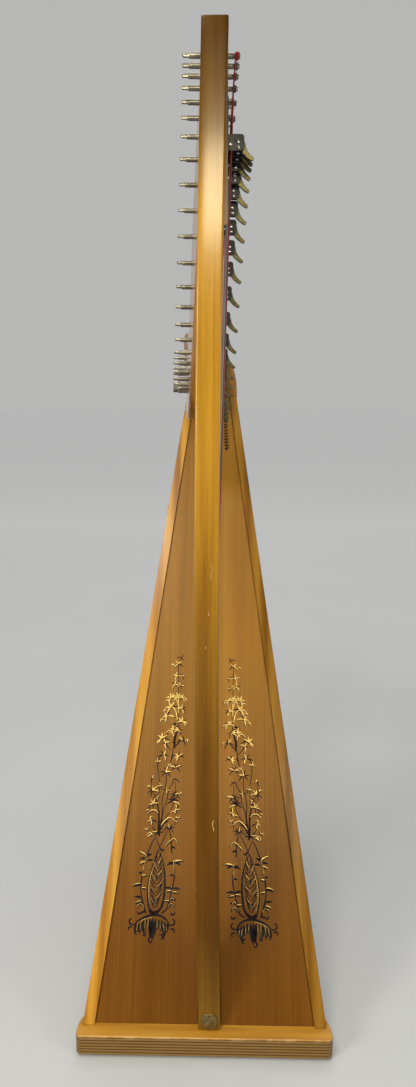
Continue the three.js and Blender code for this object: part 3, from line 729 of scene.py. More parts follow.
def pillar():
    """One straight-grained post, bowed a little to the left, with rounded arrises."""
    arris, top_round = PILLAR["arris"], PILLAR["top_arris"]
    rings = []

    def ring(height, inset=0.0):
        at_foot, slant, bow = PILLAR_BOW
        centre = at_foot - slant * height + bow * height * height
        half = mix(PILLAR["foot"], PILLAR["top"], height / PILLAR["height"]) / 2 - inset
        outline = rounded_ring(centre - half, centre + half, inset, PILLAR["depth"] - inset,
                               max(arris - inset, 0.6), 5)
        rings.append([place(x, y, height) for x, y in outline])

    ring(JOINT, 0.6)
    ring(0.9)
    for step in range(1, 60):
        ring(step * (PILLAR["height"] - 3) / 60)
    for turn in range(0, 91, 18):
        bend = radians(turn)
        ring(PILLAR["height"] - top_round * (1 - sin(bend)), top_round * (1 - cos(bend)))
    piece("pillar_post", loft(rings), "pillar", "pillar", angle=40)


def neck_outlines(count):
    """The neck's upper and lower edges as (depth, height) pairs."""
    def offset(curve, distance):
        out = []
        for k in range(97):
            here = catmull(curve, k / 96)
            ahead = catmull(curve, min(k / 96 + 1e-3, 1)) - catmull(curve, max(k / 96 - 1e-3, 0))
            ahead.normalize()
            out.append(Vector((here.x - ahead.y * distance, here.y + ahead.x * distance)))
        return [p for p in out if NECK["start"] + 14 < p.x < NECK["end"] - 8]

    upper = offset(PIN_LINE, NECK["above"])
    lower = offset(LEVER_LINE, -NECK["below"])
    foot = Vector((NECK["start"], NECK["knee"]))
    bend = Vector((NECK["start"] + 0.7, lower[0].y - 14))
    knee = [foot.lerp(bend, t).lerp(bend.lerp(lower[0], t), t) for t in
            (k / 14 for k in range(14))]
    upper = [Vector((NECK["start"], PILLAR["height"]))] + upper
    upper.append(Vector((NECK["end"], NECK["end_high"])))
    lower = knee + lower + [Vector((NECK["end"], NECK["end_low"]))]
    return even(smooth_line(upper, 400), count), even(lower, count)


def neck():
    """The curved neck, bowed in plan, with rounded arrises."""
    upper, lower = neck_outlines(150)
    arris = NECK["arris"]
    rings = []
    for top, foot in zip(upper, lower):
        up = (top - foot).normalized()
        span = (top - foot).length
        ring = []
        for x_end, v_end, start in ((1, 1, 0), (0, 1, 90), (0, 0, 180), (1, 0, 270)):
            for k in range(6):
                angle = radians(start + 18 * k)
                x_in = (-arris if x_end else arris) + arris * cos(angle)
                v = (span - arris if v_end else arris) + arris * sin(angle)
                at = foot + up * v
                edge = neck_right(at.x) if x_end else neck_left(at.x)
                ring.append(place(edge + x_in, at.x, at.y))
            between = 7 if start in (90, 270) else 0
            for k in range(1, between):
                share = k / between
                ends = (span - arris, arris) if start == 90 else (arris, span - arris)
                at = foot + up * mix(*ends, share)
                edge = neck_left(at.x) if start == 90 else neck_right(at.x)
                ring.append(place(edge, at.x, at.y))
        rings.append(ring)
    piece("neck_board", loft(rings), "neck", "neck", angle=40)


def shoulder():
    """The carved block between neck and soundbox: its CAD shape with softened edges."""
    made = add("shoulder_block_wood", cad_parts["shoulder_block"].data.copy())
    remesh = made.modifiers.new("remesh", "REMESH")
    remesh.mode = "VOXEL"
    remesh.voxel_size = 2.2 * MM
    smooth = made.modifiers.new("smooth", "SMOOTH")
    smooth.factor = 0.5
    smooth.iterations = 9
    bake(made)
    shade(made.data, 70)
    dress(made, "shoulder", node="shoulder_block")


def half_width(s):
    """Half the soundbox's width at the board, s up it."""
    return BOX["half_width"] * (1 - s / BOX["apex"])


def board_point(x, s, inward=0.0):
    """A point in the soundbox: across, up the board, and into the box, in millimetres."""
    return place(x, BOX["foot_depth"] + s * LEAN_SIN + inward * LEAN_COS,
                 s * LEAN_COS - inward * LEAN_SIN)


def back_depth(s):
    """The soundbox's depth, s up the board."""
    return BOX["rim_back"] + (BOX["depth"] - BOX["rim_back"]) * (1 - s / BOX["apex"])


def back_panel():
    """A thin tapered panel with four oval openings whose edges are rounded."""
    rounding = 1  # of every edge, in millimetres
    glue_gap = 0.5  # on each side, between the panel and the sides of the box
    curve = bpy.data.curves.new("back_outline", "CURVE")
    curve.dimensions = "2D"
    curve.fill_mode = "BOTH"
    curve.extrude = (BOX["back"] / 2 - rounding) * MM
    curve.bevel_depth = rounding * MM
    curve.bevel_resolution = 2
    slope = (back_depth(0) - back_depth(1000)) / 1000
    stretch = hypot(1, slope)

    def loop(points):
        spline = curve.splines.new("POLY")
        spline.points.add(len(points) - 1)
        for point, (x, s) in zip(spline.points, points):
            point.co = (x * MM, s * stretch * MM, 0, 1)
        spline.use_cyclic_u = True

    def half(s):
        return half_width(s) * BOX["back_ratio"] - BOX["side"] - glue_gap - rounding

    start, end = -60, BOX["side_top"] - rounding
    loop([(-half(start), start), (half(start), start), (half(end), end), (-half(end), end)])
    for s, rx, rs in SOUND_HOLES:
        loop([((rx - rounding) * cos(a), s + rs * sin(a)) for a in angles(72)])
    holder = add("back_holder", curve)
    mesh = evaluated(holder)
    bpy.data.objects.remove(holder)
    middle = BOX["back"] / 2
    origin = board_point(0, 0, back_depth(0) - middle)
    up = (board_point(0, 1000, back_depth(1000) - middle) - origin).normalized()
    across = Vector((1, 0, 0))
    basis = Matrix((across, up, across.cross(up))).transposed().to_4x4()
    mesh.transform(Matrix.Translation(origin) @ basis)
    level = Vector((0, 0, BASE_TOP + JOINT * MM))
    with reshaping(mesh) as shape:
        bmesh.ops.remove_doubles(shape, verts=shape.verts, dist=1e-6)
        cut = bmesh.ops.bisect_plane(
            shape, geom=shape.verts[:] + shape.edges[:] + shape.faces[:], plane_co=level,
            plane_no=(0, 0, -1), clear_outer=True)
        edges = [e for e in cut["geom_cut"] if isinstance(e, bmesh.types.BMEdge)]
        bmesh.ops.holes_fill(shape, edges=edges)
        bmesh.ops.recalc_face_normals(shape, faces=shape.faces)
    shade(mesh, 45)
    dress(add("back_panel_wood", mesh), "side", node="back_panel")


def soundbox():
    rounded_copy("soundboard", "board", 0.4)
    for side in ("left", "right"):
        rounded_copy(f"rim_{side}", f"rim_{side}", 1.6)
        rounded_copy(f"side_{side}", "side", 1.2)
        rounded_copy(f"liner_{side}", "raw", 0.8)
    for node in ("bottom_block", "inner_string_rib", "back_brace_lower", "back_brace_middle",
                 "back_brace_upper"):
        rounded_copy(node, "raw", 0.8)
    back_panel()


def base():
    rounded_copy("base_board", "base", 1.0)
    for corner in ("front_left", "front_right", "rear_left", "rear_right"):
        rounded_copy("glide_" + corner, "rubber", 0.6, "_foot")
    for node in ("pillar_bolt", "shoulder_bolt"):
        rounded_copy(node, "steel", 0.6, "_steel")


def medallion():
    """A blank brass disc with flattened sides, a sunk border and two domed nails."""
    low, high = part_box("medallion")
    centre = (low + high) / 2
    radius, flat = 15.0, 13.2  # flat is half the width between the flattened sides
    rings = []
    profile = [(1.0, 0.0), (1.0, 1.0), (0.965, 1.45), (0.93, 1.6), (0.87, 1.6), (0.845, 1.35),
               (0.8, 1.3), (0.5, 1.42), (0.2, 1.5)]
    for share, rise in profile:
        ring = []
        for a in angles(72):
            x = max(-flat, min(flat, radius * cos(a))) * share
            ring.append(Vector((centre.x + x * MM, high.y - rise * MM,
                                centre.z + radius * sin(a) * share * MM)))
        rings.append(ring)
    piece("medallion_disc", loft(rings), "medallion", "medallion")
    head = dome(0, 1.0, 1.45, 0.02, 15)
    for name in ("medallion_nail_upper", "medallion_nail_lower"):
        low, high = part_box(name)
        centre = (low + high) / 2
        turn = Matrix.Translation(Vector((centre.x, high.y, centre.z))) @ Matrix.Rotation(
            radians(-90), 4, "Z")
        piece(name + "_head", moved(lathe([(0, 1.45)] + head), turn), "nail", name)


# Soundboard ornament
#
# Its tables are in millimetres across and up the board (x, s) and in degrees. dark is 1 for a
# stroke of ink alone, and hand is the way a tendril rolls up.

# x, s, size
MANDORLA_SPOTS = [
    (-87, 227, 4.4), (-96, 228, 3.4), (-95, 206, 4), (-91.5, 187, 5), (-80, 214, 3),
    (-79, 240, 2.6),
]
# x, s, angle, length, bend, dark
VINE_LEAVES = [
    (-106, 261, 120, 12, 0.7, 0), (-106, 260, 60, 9, -0.5, 1), (-107, 257, 150, 9, 0.6, 1),
    (-106, 253, 30, 10, -0.6, 1), (-107, 252, 165, 8, 0.5, 0), (-112, 229, 40, 6, -0.4, 0),
    (-112, 232, 130, 6, 0.5, 1), (-114, 216, 150, 11, 0.7, 0), (-114, 213, 165, 9, 0.6, 1),
    (-114, 209, 20, 8, -0.6, 0), (-112, 192, 140, 10, 0.8, 1), (-112, 188, 160, 8, 0.6, 0),
    (-57, 252, 50, 12, -0.7, 0), (-57, 251, 20, 10, -0.6, 1), (-58, 250, 160, 10, 0.6, 1),
    (-57, 247, 120, 8, 0.6, 1), (-56, 230, 160, 6, 0.5, 1), (-59, 208, 35, 10, -0.6, 1),
    (-60, 208, 150, 10, 0.6, 1), (-60, 205, 165, 8, 0.5, 0), (-60, 203, 10, 8, -0.5, 0),
    (-62, 190, 40, 7, -0.6, 1), (-63, 188, 150, 7, 0.6, 0),
]
# x, s, angle, radius, hand, dark
VINE_CURLS = [
    (-108, 176, 165, 7, 1, 0), (-112, 172, 190, 4.5, -1, 1), (-65, 177, 20, 6.5, -1, 0),
    (-61, 171, -10, 4.5, 1, 1), (-62, 189, 15, 4, -1, 0), (-104, 168, 175, 4, 1, 1),
]
# x, s, angle, length, width, bend
COLLAR_FRONDS = [
    (-120, 153, -110, 15, 3.6, 0.2), (-115, 156, -104, 20, 3.8, 0.2),
    (-108, 159, -100, 22, 4.2, 0.25), (-102, 161, -94, 20, 3.4, -0.15),
    (-97, 161, -92, 26, 5, 0.15), (-92, 161, -90, 30, 7.4, 0), (-87, 161, -86, 30, 6.8, -0.1),
    (-82, 160, -84, 22, 4.4, 0.1), (-77, 159, -78, 25, 5.2, -0.2), (-72, 157, -74, 20, 4, -0.25),
    (-67, 154, -68, 15, 3.8, -0.2), (-95, 150, -92, 22, 5.2, 0),
]
# x, s, angle, length, bend
COLLAR_GLINTS = [
    (-117, 151, -106, 13, 0.2), (-111, 155, -102, 15, 0.2), (-104, 157, -97, 15, 0.1),
    (-99, 157, -98, 12, 0.1), (-84, 156, -84, 12, -0.1), (-79, 155, -80, 14, -0.1),
    (-74, 153, -76, 13, -0.2), (-69, 150, -70, 10, -0.2),
]
# x, s, angle, radius, hand
COLLAR_CURLS = [
    (-124, 151, 125, 6.8, -1), (-63, 151, 50, 6.8, 1), (-127, 145, 200, 4.4, 1),
    (-116, 141, 235, 4.6, 1), (-80, 135, 300, 4.8, -1), (-61, 143, 330, 4.4, -1),
    (-93, 132, 264, 5.8, 1), (-106, 139, 255, 3.6, -1),
]
# path, width
BOUQUET_STEMS = [
    ([(-84, 296), (-86, 311), (-87, 338), (-90.5, 357), (-87, 382), (-91, 410), (-91, 425),
      (-87, 435), (-81, 436)], 1.4),
    ([(-84, 305), (-81, 332), (-81.5, 357), (-76, 382), (-75.5, 404)], 1.5),
    ([(-82, 312), (-79, 340), (-73, 357), (-69, 378), (-61, 388)], 1.4),
    ([(-82, 318), (-66, 338), (-60, 354)], 1.3),
    ([(-87, 325), (-92, 357), (-95, 365), (-99, 371), (-102, 386), (-102, 396)], 1.1),
    ([(-58, 365), (-58, 378), (-57.5, 389)], 1),
    ([(-69, 420), (-66, 432), (-63.5, 450), (-60, 466), (-55, 490)], 1.5),
]
# x, s, size, turn, petals, share of dark petals
BOUQUET_BLOOMS = [
    (-88, 304, 11, 270, 6, 0.9), (-67, 308, 9, 80, 6, 0.9), (-61, 354, 12, 70, 8, 0.75),
    (-56, 341, 8, 330, 6, 0.3), (-58, 366, 9, 90, 6, 0.8), (-96, 350, 9, 130, 5, 0.3),
    (-99, 373, 10, 120, 6, 0.5), (-58, 414, 9, 90, 6, 0.7), (-76, 405, 10, 90, 6, 0.5),
    (-52, 434, 9, 120, 6, 0.35), (-81, 436, 9, 60, 5, 0.4), (-85, 381, 6, 60, 4, 0.3),
    (-69, 418, 5, 100, 4, 0.2), (-91, 424, 6, 140, 4, 0.3), (-103, 341, 7, 200, 5, 0.6),
    (-57, 321, 6, 20, 4, 0.8), (-92, 362, 6, 60, 4, 0.5), (-74, 374, 6, 40, 4, 0.4),
]
# x, s, angle, radius, hand, dark
BOUQUET_CURLS = [
    (-100, 314, 130, 5, 1, 0), (-105, 310, 200, 4, -1, 0), (-98, 322, 100, 4, -1, 0),
    (-96, 297, 190, 6, 1, 0), (-75, 274, 170, 4, -1, 1), (-62, 272, 30, 4, -1, 1),
    (-55, 330, 350, 4, 1, 0), (-104, 378, 160, 3, 1, 0), (-96, 395, 120, 3, -1, 0),
    (-50, 366, 20, 3.4, -1, 0),
]
# x, s, size, turn, petals, share of dark petals
SPRAY_BLOOMS = [
    (-52, 619, 7, 60, 3, 0.5), (-57, 606, 9, 90, 4, 0.2), (-60, 583, 8, 120, 4, 0.1),
    (-51, 583, 7, 60, 5, 0.4), (-63, 567, 8, 110, 4, 0.3), (-52, 565, 7, 60, 5, 0.5),
    (-69, 542, 10, 120, 5, 0.3), (-56, 543, 9, 90, 6, 0.3), (-49, 542, 7, 60, 5, 0.3),
    (-69, 524, 11, 120, 5, 0.25), (-49, 521, 8, 60, 6, 0.4), (-76, 507, 10, 130, 5, 0.4),
    (-47, 497, 9, 70, 6, 0.4), (-63, 483, 9, 110, 5, 0.25), (-54, 481, 8, 70, 5, 0.5),
    (-85, 466, 11, 110, 6, 0.5), (-47, 463, 9, 70, 5, 0.3), (-78, 458, 8, 150, 4, 0.7),
]
# x, s, angle, radius, hand
SPRAY_CURLS = [
    (-74, 534, 160, 3, 1), (-83, 500, 200, 3.4, 1), (-78, 517, 190, 3, 1), (-88, 462, 170, 3.4, -1),
    (-43, 494, 350, 3, -1), (-44, 538, 340, 2.8, -1), (-41, 463, 340, 3, -1),
    (-66, 603, 170, 2.6, 1),
]


class Ornament:
    """Inked and gilded flowers on the board, drawn in millimetres across and up the board."""

    def __init__(self, name, flip, seed):
        self.name, self.flip = name, flip
        self.ink, self.gilt = [], []
        self.random = random.Random(seed)

    def point(self, at, lift):
        """A point on the board; the right drawing is the left one mirrored, 5 mm lower."""
        x, s = (-9 - at[0], at[1] - 5) if self.flip else (at[0], at[1])
        return board_point(x, s, lift)

    def bar(self, path, widths, front):
        """A thin raised line whose width changes along its path."""
        count = max(6, 4 * len(path))
        line = smooth_line(path, count)
        rings = []
        for i, here in enumerate(line):
            ahead = line[min(i + 1, count - 1)] - line[max(i - 1, 0)]
            side = Vector((-ahead.y, ahead.x)).normalized()
            t = i / (count - 1) * (len(widths) - 1)
            k = min(int(t), len(widths) - 2)
            half = max(mix(widths[k], widths[k + 1], t - k), 0.15) / 2
            corners = ((1, front), (-1, front), (-1, 0.15), (1, 0.15))
            rings.append([self.point(here + side * half * v, n) for v, n in corners])
        return loft(rings)

    def inked(self, path, *widths):
        self.ink.append(self.bar(path, widths, INK_LIFT))

    def gilded(self, path, *widths):
        self.gilt.append(self.bar(path, widths, GILT_LIFT))

    def both(self, path, *widths, edge=0.3):
        """A gilded stroke with ink below and to the right of it, more ink towards the foot."""
        shade = 0.45
        up = min(max((path[0][1] - 200) / 280, 0), 1)
        edge += mix(0.6, 0, up)
        self.inked([(x + shade, s - shade) for x, s in path], *[w + 2 * edge for w in widths])
        share = mix(0.36, 1.15, up)
        self.gilded([(x - shade, s + shade) for x, s in path], *[w * share for w in widths])

    def stem(self, path, width):
        self.inked(path, width * 1.2, width, width)

    def leaf(self, x, s, angle, length, width, bend, dark=False):
        """A pointed leaf that grows from (x, s) and turns aside towards its tip."""
        a = radians(angle + self.random.uniform(-9, 9))
        along, side = Vector((cos(a), sin(a))), Vector((-sin(a), cos(a)))
        length *= self.random.uniform(0.85, 1.15)
        path = [Vector((x, s)) + along * length * t + side * length * bend * t * t
                for t in (0, 0.33, 0.66, 1)]
        if dark:
            self.inked(path, 0.8, width, width * 0.8, 0.4)
        else:
            self.both(path, 0.6, width, width * 0.75, 0.3)

    def bloom(self, x, s, size, turn, petals, dark):
        """A small flower seen from the side: drooping petals around a dark heart."""
        for k in range(petals):
            away = mix(-88, 88, k / (petals - 1))
            bend = 0.85 * away / 88
            self.leaf(x, s, turn + away, size, size * 0.24, bend, self.random.random() < dark)
        heart = [(x - size * 0.14, s), (x, s - size * 0.04), (x + size * 0.16, s)]
        self.inked(heart, size * 0.12, size * 0.34, size * 0.1)

    def comma(self, x, s, angle, radius, hand, dark=False):
        """A short tendril that leaves (x, s) and rolls up."""
        a = radians(angle)
        centre = Vector((x, s)) + Vector((cos(a), sin(a))) * radius
        path, step, tighter = [], radians(44), 0.1
        for k in range(6):
            turn = a + pi + hand * step * k
            path.append(centre + Vector((cos(turn), sin(turn))) * radius * (1 - k * tighter))
        if dark:
            self.inked(path, 1.2, 3.2, 2.8, 1.6)
        else:
            self.both(path, 0.7, 1.9, 1.6, 0.8)

    def mandorla(self):
        """The long leaf at the foot: an outline filled with slanting veins."""
        left = [(-85.8, 272), (-94, 248), (-101, 222), (-102, 197), (-98, 176), (-91, 169)]
        right = [(-85.8, 272), (-78, 255), (-73, 230), (-73, 203), (-77, 180), (-87, 169)]
        for outline in (left, right):
            self.inked(outline, 1.2, 2.4, 3.2, 4.0, 4.4)
        self.gilded([(x + 1.2, s) for x, s in left[1:5]], 0.3, 0.8, 0.3)
        for k in range(13):
            s = 180 + 6.4 * k
            reach = 12.5 * sin(radians(40 + 118 * k / 12))
            x = mix(-89, -85.4, k / 12)
            for side in (-1, 1):
                vein = [(x + side * 0.8, s - 3), (x + side * reach * 0.5, s + 2.5),
                        (x + side * reach * 0.94, s + 11)]
                if (k + side) % 3:
                    self.inked(vein, 1.4, 2.2, 0.8)
                else:
                    self.both(vein, 0.8, 1.5, 0.4, edge=0.1)
        for x, s, size in MANDORLA_SPOTS:
            self.inked([(x - 1, s - size), (x, s), (x + 1, s + size)], 0.8, size, 0.8)
        self.inked([(-100, 176), (-97, 171), (-91, 169), (-85, 171), (-78, 176)], 1, 5, 7, 5, 1)

    def vines(self):
        """The two leafy stems on either side of the long leaf."""
        left = [(-91.5, 294), (-99, 281), (-106, 261), (-109, 251), (-113, 229), (-115, 209),
                (-111.5, 190), (-105, 170)]
        right = [(-68, 309), (-63.5, 291), (-62, 268), (-57.5, 252), (-56, 230), (-59, 210),
                 (-63, 194), (-68, 176), (-77.5, 169)]
        for side in (left, right):
            self.inked(side, 1.6, 2.0, 2.7, 1.9, 2.7, 2.0, 2.8, 2.4)
            self.gilded([(x - 0.4, s) for x, s in side[2:5]], 0.3, 0.6, 0.3)
        for x, s, angle, length, bend, dark in VINE_LEAVES:
            self.leaf(x, s, angle, length * 1.25, 4.2, bend, dark)
        for curl in VINE_CURLS:
            self.comma(*curl)

    def fan(self):
        """The arched collar under the long leaf, with fronds that hang from it."""
        arc = [(-126, 149), (-118, 156), (-108.5, 161.5), (-93, 166), (-77.5, 164.5),
               (-67, 157), (-62, 148)]
        self.inked(arc, 1.6, 3.2, 4.2, 4.4, 3.2, 1.6)
        self.gilded([(x, s - 3.2) for x, s in arc[1:4]], 0.3, 0.7, 0.3)
        for x, s, angle, length, width, bend in COLLAR_FRONDS:
            self.leaf(x, s, angle, length * 1.12, width * 1.25, bend, dark=True)
        for x, s, angle, length, bend in COLLAR_GLINTS:
            self.leaf(x, s, angle, length, 1.6, bend)
        for curl in COLLAR_CURLS:
            self.comma(*curl, dark=True)

    def bouquet(self):
        """Long stems from one knot, with open flowers, buds and leaves."""
        for path, width in BOUQUET_STEMS:
            self.stem(path, width)
        self.inked([(-86, 338), (-86.5, 320), (-86, 305), (-84, 298)], 1.4, 3.0, 4.2, 1.6)
        self.inked([(-80, 336), (-83, 318), (-84, 306)], 1.0, 2.4, 1.2)
        self.both([(-87, 334), (-93, 339), (-102, 338), (-107, 332)], 1.0, 2.2, 1.6, 0.6)
        self.both([(-82, 313), (-74, 323), (-66, 327), (-57, 321)], 1.2, 2.8, 2.2, 1.0)
        self.both([(-73, 279), (-65, 287), (-57, 291), (-50, 283)], 0.8, 1.8, 1.8, 0.8)
        self.inked([(-91, 294), (-86, 282), (-80, 268)], 0.8, 1.8, 1.0)
        self.inked([(-68, 309), (-77, 290), (-88, 268)], 0.8, 1.8, 1.0)
        for bloom in BOUQUET_BLOOMS:
            self.bloom(*bloom)
        self.inked([(-65, 387), (-60, 394), (-55, 392), (-50, 387)], 0.9, 2.4, 2.2, 0.8)
        self.inked([(-103, 388), (-102, 393), (-100.5, 400)], 1.0, 2.6, 0.8)
        for curl in BOUQUET_CURLS:
            self.comma(*curl)
        self.leaf(-96, 300, 195, 11, 3.4, 0.3)
        self.leaf(-80, 314, 60, 13, 3.6, -0.5, dark=True)
        self.leaf(-90, 318, 125, 10, 2.8, 0.5, dark=True)

    def spray(self):
        """The thin vine at the top, with blossoms on both sides."""
        self.stem([(-51.5, 620), (-57, 606), (-57, 584), (-56.5, 563), (-56, 542), (-55, 515),
                   (-55, 490)], 1.0)
        self.both([(-56, 548), (-55.4, 530), (-55, 512)], 0.8, 1.8, 0.8)
        for bloom in SPRAY_BLOOMS:
            self.bloom(*bloom)
        self.both([(-57, 500), (-60, 516), (-66, 524), (-74, 523)], 0.8, 1.8, 1.6, 0.6)
        self.both([(-56, 530), (-61, 541), (-68, 545), (-75, 540)], 0.7, 1.5, 1.4, 0.6)
        self.both([(-63, 470), (-66, 478), (-73, 480), (-80, 474)], 0.8, 2.0, 1.6, 0.6)
        self.inked([(-70, 492), (-62, 493), (-57, 499)], 0.8, 4.6, 0.9)
        self.inked([(-60, 448), (-62, 458), (-61, 470), (-57, 481)], 1.2, 5.0, 3.6, 1.0)
        self.inked([(-61, 452), (-55, 458), (-50, 463)], 1.2, 2.8, 1.0)
        self.inked([(-67, 444), (-74, 452), (-80, 462)], 0.9, 2.0, 1.2)
        self.inked([(-68, 424), (-66, 431), (-62, 438)], 1.0, 2.6, 1.0)
        for curl in SPRAY_CURLS:
            self.comma(*curl)

    def twig(self):
        """A small dark twig near the top of the board."""
        self.inked([(33, 1059), (32, 1085), (30, 1110), (29, 1137)], 1.6, 1.2, 0.8)
        for k in range(11):
            s = 1063 + 7 * k
            x = mix(33, 29.4, k / 10)
            self.leaf(x, s, 48, 9 - k * 0.2, 3.2, 0.1, dark=True)
            self.leaf(x, s, 138, 7 - k * 0.2, 3.0, -0.1, dark=True)

    def finish(self):
        for layer, parts in (("ink", self.ink), ("gilt", self.gilt)):
            if parts:
                piece(f"ornament_{self.name}_{layer}", merge(*parts), layer)


def ornaments():
    for name, flip in (("left", False), ("right", True)):
        drawing = Ornament(name, flip, 11)
        drawing.fan()
        drawing.mandorla()
        drawing.vines()
        drawing.bouquet()
        drawing.spray()
        drawing.finish()
    drawing = Ornament("twig", False, 12)
    drawing.twig()
    drawing.finish()


# Strings and their hardware

def string_look(number):
    """The material of one string: C is red, F is black, the lowest are wound."""
    if (number - 1) % 7 == 0:
        return "red"
    if (number - 4) % 7 == 0:
        return "black"
    return "wound" if number <= 7 else "clear"


def string_route(at):
    """Up from the board, past the lever, over the bridge pin and round the tuning pin."""
    depth, height = at["foot"]
    thick = at["radius"]
    start = place(0, depth, height - FOOT_LIFT)
    bridge, pin = at["bridge"], at["pin"]
    side = -(2.0 + thick)  # the string lies beside the bridge pin, which is 2 mm in radius
    route = [start, local(bridge, STRING_OUT, side, -3), local(bridge, STRING_OUT, side, 0),
             local(bridge, STRING_OUT, side + 0.15, 3)]
    wound_on = PIN_RADIUS + thick
    pitch = max(2.08 * thick, 1.15)  # the turns lie side by side
    turns = 2.25 if thick > 0.8 else 3.25 if thick > 0.6 else 4.25
    steps = int(turns * 16)
    for k in range(steps + 1):
        angle = tau * turns * k / steps
        out = COIL_OUT + pitch * turns * k / steps
        route.append(local(pin, out, -wound_on * cos(angle), wound_on * sin(angle)))
    return route


def tuning_pin(at):
    """A steel pin: square head on the left, a cone, the shank through the neck, a dimpled end."""
    left = -at["pin_through"] - TIP_OUT
    square = []
    for x, half in ((left, 1.8), (left + 0.7, 2.3), (left + 8.9, 2.5)):
        ring = [Vector((x, y, z)) for y, z in rounded_ring(-half, half, -half, half, 0.6, 3)]
        square.append(ring)
    head = in_mm(loft(square))
    shank = lathe([(left + 8.2, 2.2), (left + 8.6, 3.2), (left + 9.6, 3.9), (left + 11, 4.1),
                   (0.5, 4.05), (17.0, 3.8), (17.7, 3.4), (18.0, 2.5), (17.6, 1.4)])
    return moved(merge(head, shank), at["pin"])


def bridge_pin(at):
    """A round steel pin with a groove for the string and a domed end."""
    groove = STRING_OUT
    profile = [(-4, 2.0), (groove - 1.6, 2.0), (groove - 0.9, 1.75), (groove, 1.65),
               (groove + 0.9, 1.75), (groove + 1.6, 2.0), (groove + 2.8, 2.0),
               (groove + 3.6, 1.5), (groove + 4.0, 0.5)]
    return moved(lathe(profile, 16), at["bridge"])


def bracket(at):
    """A black channel on the neck: two round-cornered cheeks, a plate and a tongue."""
    inner, outer = 3.2, 5.0
    cheek = rounded_ring(0.4, 24.0, -12, 10, 4.2, 5)
    cheeks = [prism(cheek, low, high) for low, high in ((-outer, -inner), (inner, outer))]
    plate = prism(rounded_ring(0.3, 2.3, -11.6, 9.6, 0.6, 2), -4.9, 4.9)
    rise = (at["pivot"].inverted() @ at["bridge"].translation) / MM
    tongue = prism([(0.3, 8), (1.9, 8), (1.9, rise.z + 3), (1.1, rise.z + 4), (0.3, rise.z + 4)],
                   rise.y - 3.2, rise.y + 3.2)
    return moved(merge(*cheeks, plate, tongue), at["pivot"])


def rivets(at):
    """The lever's pivot pin, a stop rivet and a fixing screw, with domed heads."""
    parts, cheek = [], 5.0  # the cheeks' outer faces
    for x, z, radius in ((PIVOT_OUT, 0, 2.4), (PIVOT_OUT + 0.4, -7.2, 2.1), (4.2, -3.4, 2.5)):
        shank = 1.6 if x == PIVOT_OUT else 1.3
        head = dome(cheek, 1.1, radius, 0.05, 18)
        far = [(-v, r) for v, r in reversed(head)]
        body = lathe(far + [(0.1 - cheek, shank), (cheek - 0.1, shank)] + head, 16)
        turn = Matrix.Translation((x * MM, 0, z * MM)) @ Matrix.Rotation(radians(90), 4, "Z")
        parts.append(moved(body, turn))
    return moved(merge(*parts), at["pivot"])


def lever_outline(lobe):
    """Hub, cam and curved handle as (out from the pivot, up), in millimetres."""
    def quad(a, b, c, steps=8):
        """A parabola's points from a to c, drawn towards b, without a itself."""
        a, b, c = Vector(a), Vector(b), Vector(c)
        shares = [k / steps for k in range(1, steps + 1)]
        return [a.lerp(b, t).lerp(b.lerp(c, t), t) for t in shares]

    tip, drop, half, heel, hub = 20.5, 22.5, 2.8, 10, 4.9
    points = [Vector((heel, -1))]
    points += quad(points[-1], (heel + 1, -12), (tip + half * 0.7, -drop + half * 0.7), 12)
    points += quad(points[-1], (tip + half * 0.5, -drop - half),
                   (tip - half * 0.8, -drop - half * 0.5))
    points += quad(points[-1], (3.8, -15.5), (1.75, -4.6), 12)
    for k in range(1, 15):
        angle = mix(-1.25, -pi - 0.5, k / 14)
        points.append(Vector((hub * cos(angle), hub * sin(angle))))
    points += [Vector((-2.2, lobe * 0.96)), Vector((0.8, lobe * 0.98))]
    points += quad(points[-1], (heel * 0.62, lobe * 0.88), points[0])[:-1]
    return [(p.x, p.y) for p in points]


def lever(at):
    """A brass sharping lever on its own hinge."""
    outline = lever_outline(PIVOT_OUT - STRING_OUT - at["radius"] - CAM_GAP)
    turned = at["pivot"] @ Matrix.Translation((PIVOT_OUT * MM, 0, 0))
    name = "lever_" + at["name"]
    plate = prism(outline, -LEVER_HALF, LEVER_HALF)
    piece(name + "_handle", moved(plate, turned), "brass", name, name, 0.7)


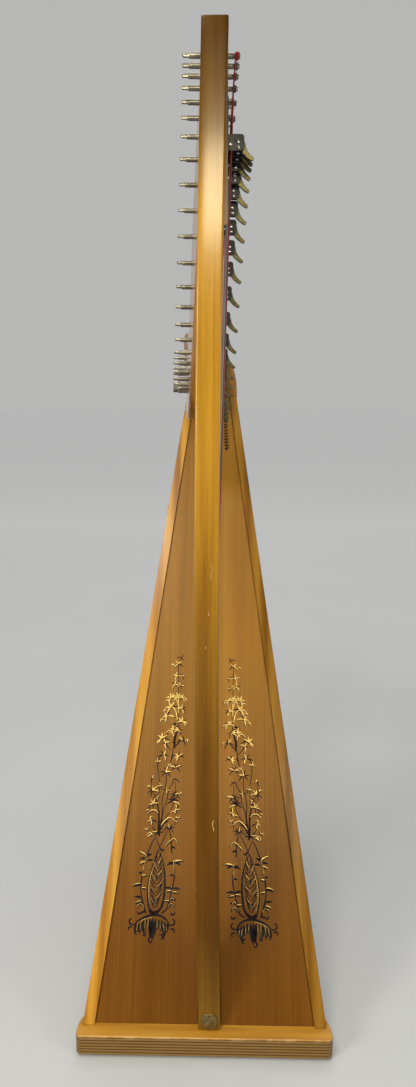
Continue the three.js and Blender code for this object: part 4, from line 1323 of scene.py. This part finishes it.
def string_rib():
    """The strip that the strings come out of; eyelet() puts a brass eyelet at each."""
    front = -RIB["thickness"] - JOINT
    rings = []
    for s in (RIB["start"], RIB["start"] + 1.0, RIB["end"] - 1.0, RIB["end"]):
        inset = 1.0 if s in (RIB["start"], RIB["end"]) else 0
        outline = rounded_ring(-RIB["half"] + inset, RIB["half"] - inset, front + inset * 0.6,
                               -JOINT, 0.9, 4)
        rings.append([board_point(x, s, n) for x, n in outline])
    piece("string_rib", loft(rings), "rib", "strings_and_hardware")


def eyelet(at):
    """A brass ring on the rib, where a string comes out of it."""
    depth, _ = at["foot"]
    s = (depth - BOX["foot_depth"]) / sin(LEAN)
    front = -RIB["thickness"] - JOINT
    centre = board_point(0, s, front)
    along = board_point(0, s + 1, front) - centre
    across = Vector((MM, 0, 0))
    outward = board_point(0, s, front - 1) - centre
    ring, wire, lift = 2.3, 0.7, 0.15
    rings = []
    for a in angles(24):
        spoke = across * cos(a) + along * sin(a)
        rings.append([
            centre + spoke * (ring + wire * cos(b)) + outward * (lift + wire * sin(b))
            for b in angles(8)
        ])
    rings.append(rings[0])
    return loft(rings, False)


def strings_and_hardware():
    string_rib()
    for index in range(STRINGS):
        at = station(index)
        for name, part, look, bevel in (
                ("string", tube(string_route(at), at["radius"]), string_look(index + 1), 0),
                ("tuning_pin", tuning_pin(at), "pin", 0),
                ("bridge_pin", bridge_pin(at), "steel", 0),
                ("bracket", bracket(at), "enamel", 0.4),
                ("rivets", rivets(at), "steel", 0),
                ("eyelet", eyelet(at), "eyelet", 0)):
            piece(f"{name}_{at['name']}", part, look, bevel=bevel)
        lever(at)


# The stage

def floor():
    """A wide pale disc, with painted light that makes it lighter far behind the harp."""
    s = Shader("floor")
    tone = s.noise(s.place(), 1.4, 3, 0.5)
    near = s.ramp(tone, (0.3, (0.425, 0.436, 0.444)), (0.7, (0.455, 0.466, 0.472)))
    # Painted light: the floor's colour is lifted towards a light grey far behind the harp.
    far = s.spread(s.axis("Y"), 0.3, 5.0, 0.0, 1.0)
    s.wire(s.blend(far, near, (0.755, 0.755, 0.75)), "Base Color")
    s.set(Roughness=0.9, Specular_IOR_Level=0.1)
    reach, sides = 40, 64
    mesh = bpy.data.meshes.new("floor")
    rim = [(reach * cos(a), reach * sin(a), 0) for a in angles(sides)]
    mesh.from_pydata(rim, [], [tuple(range(sides))])
    mesh.materials.append(s.material)
    add("floor", mesh)


add_camera()
add_lights()
base()
pillar()
medallion()
soundbox()
ornaments()
shoulder()
neck()
strings_and_hardware()
floor()
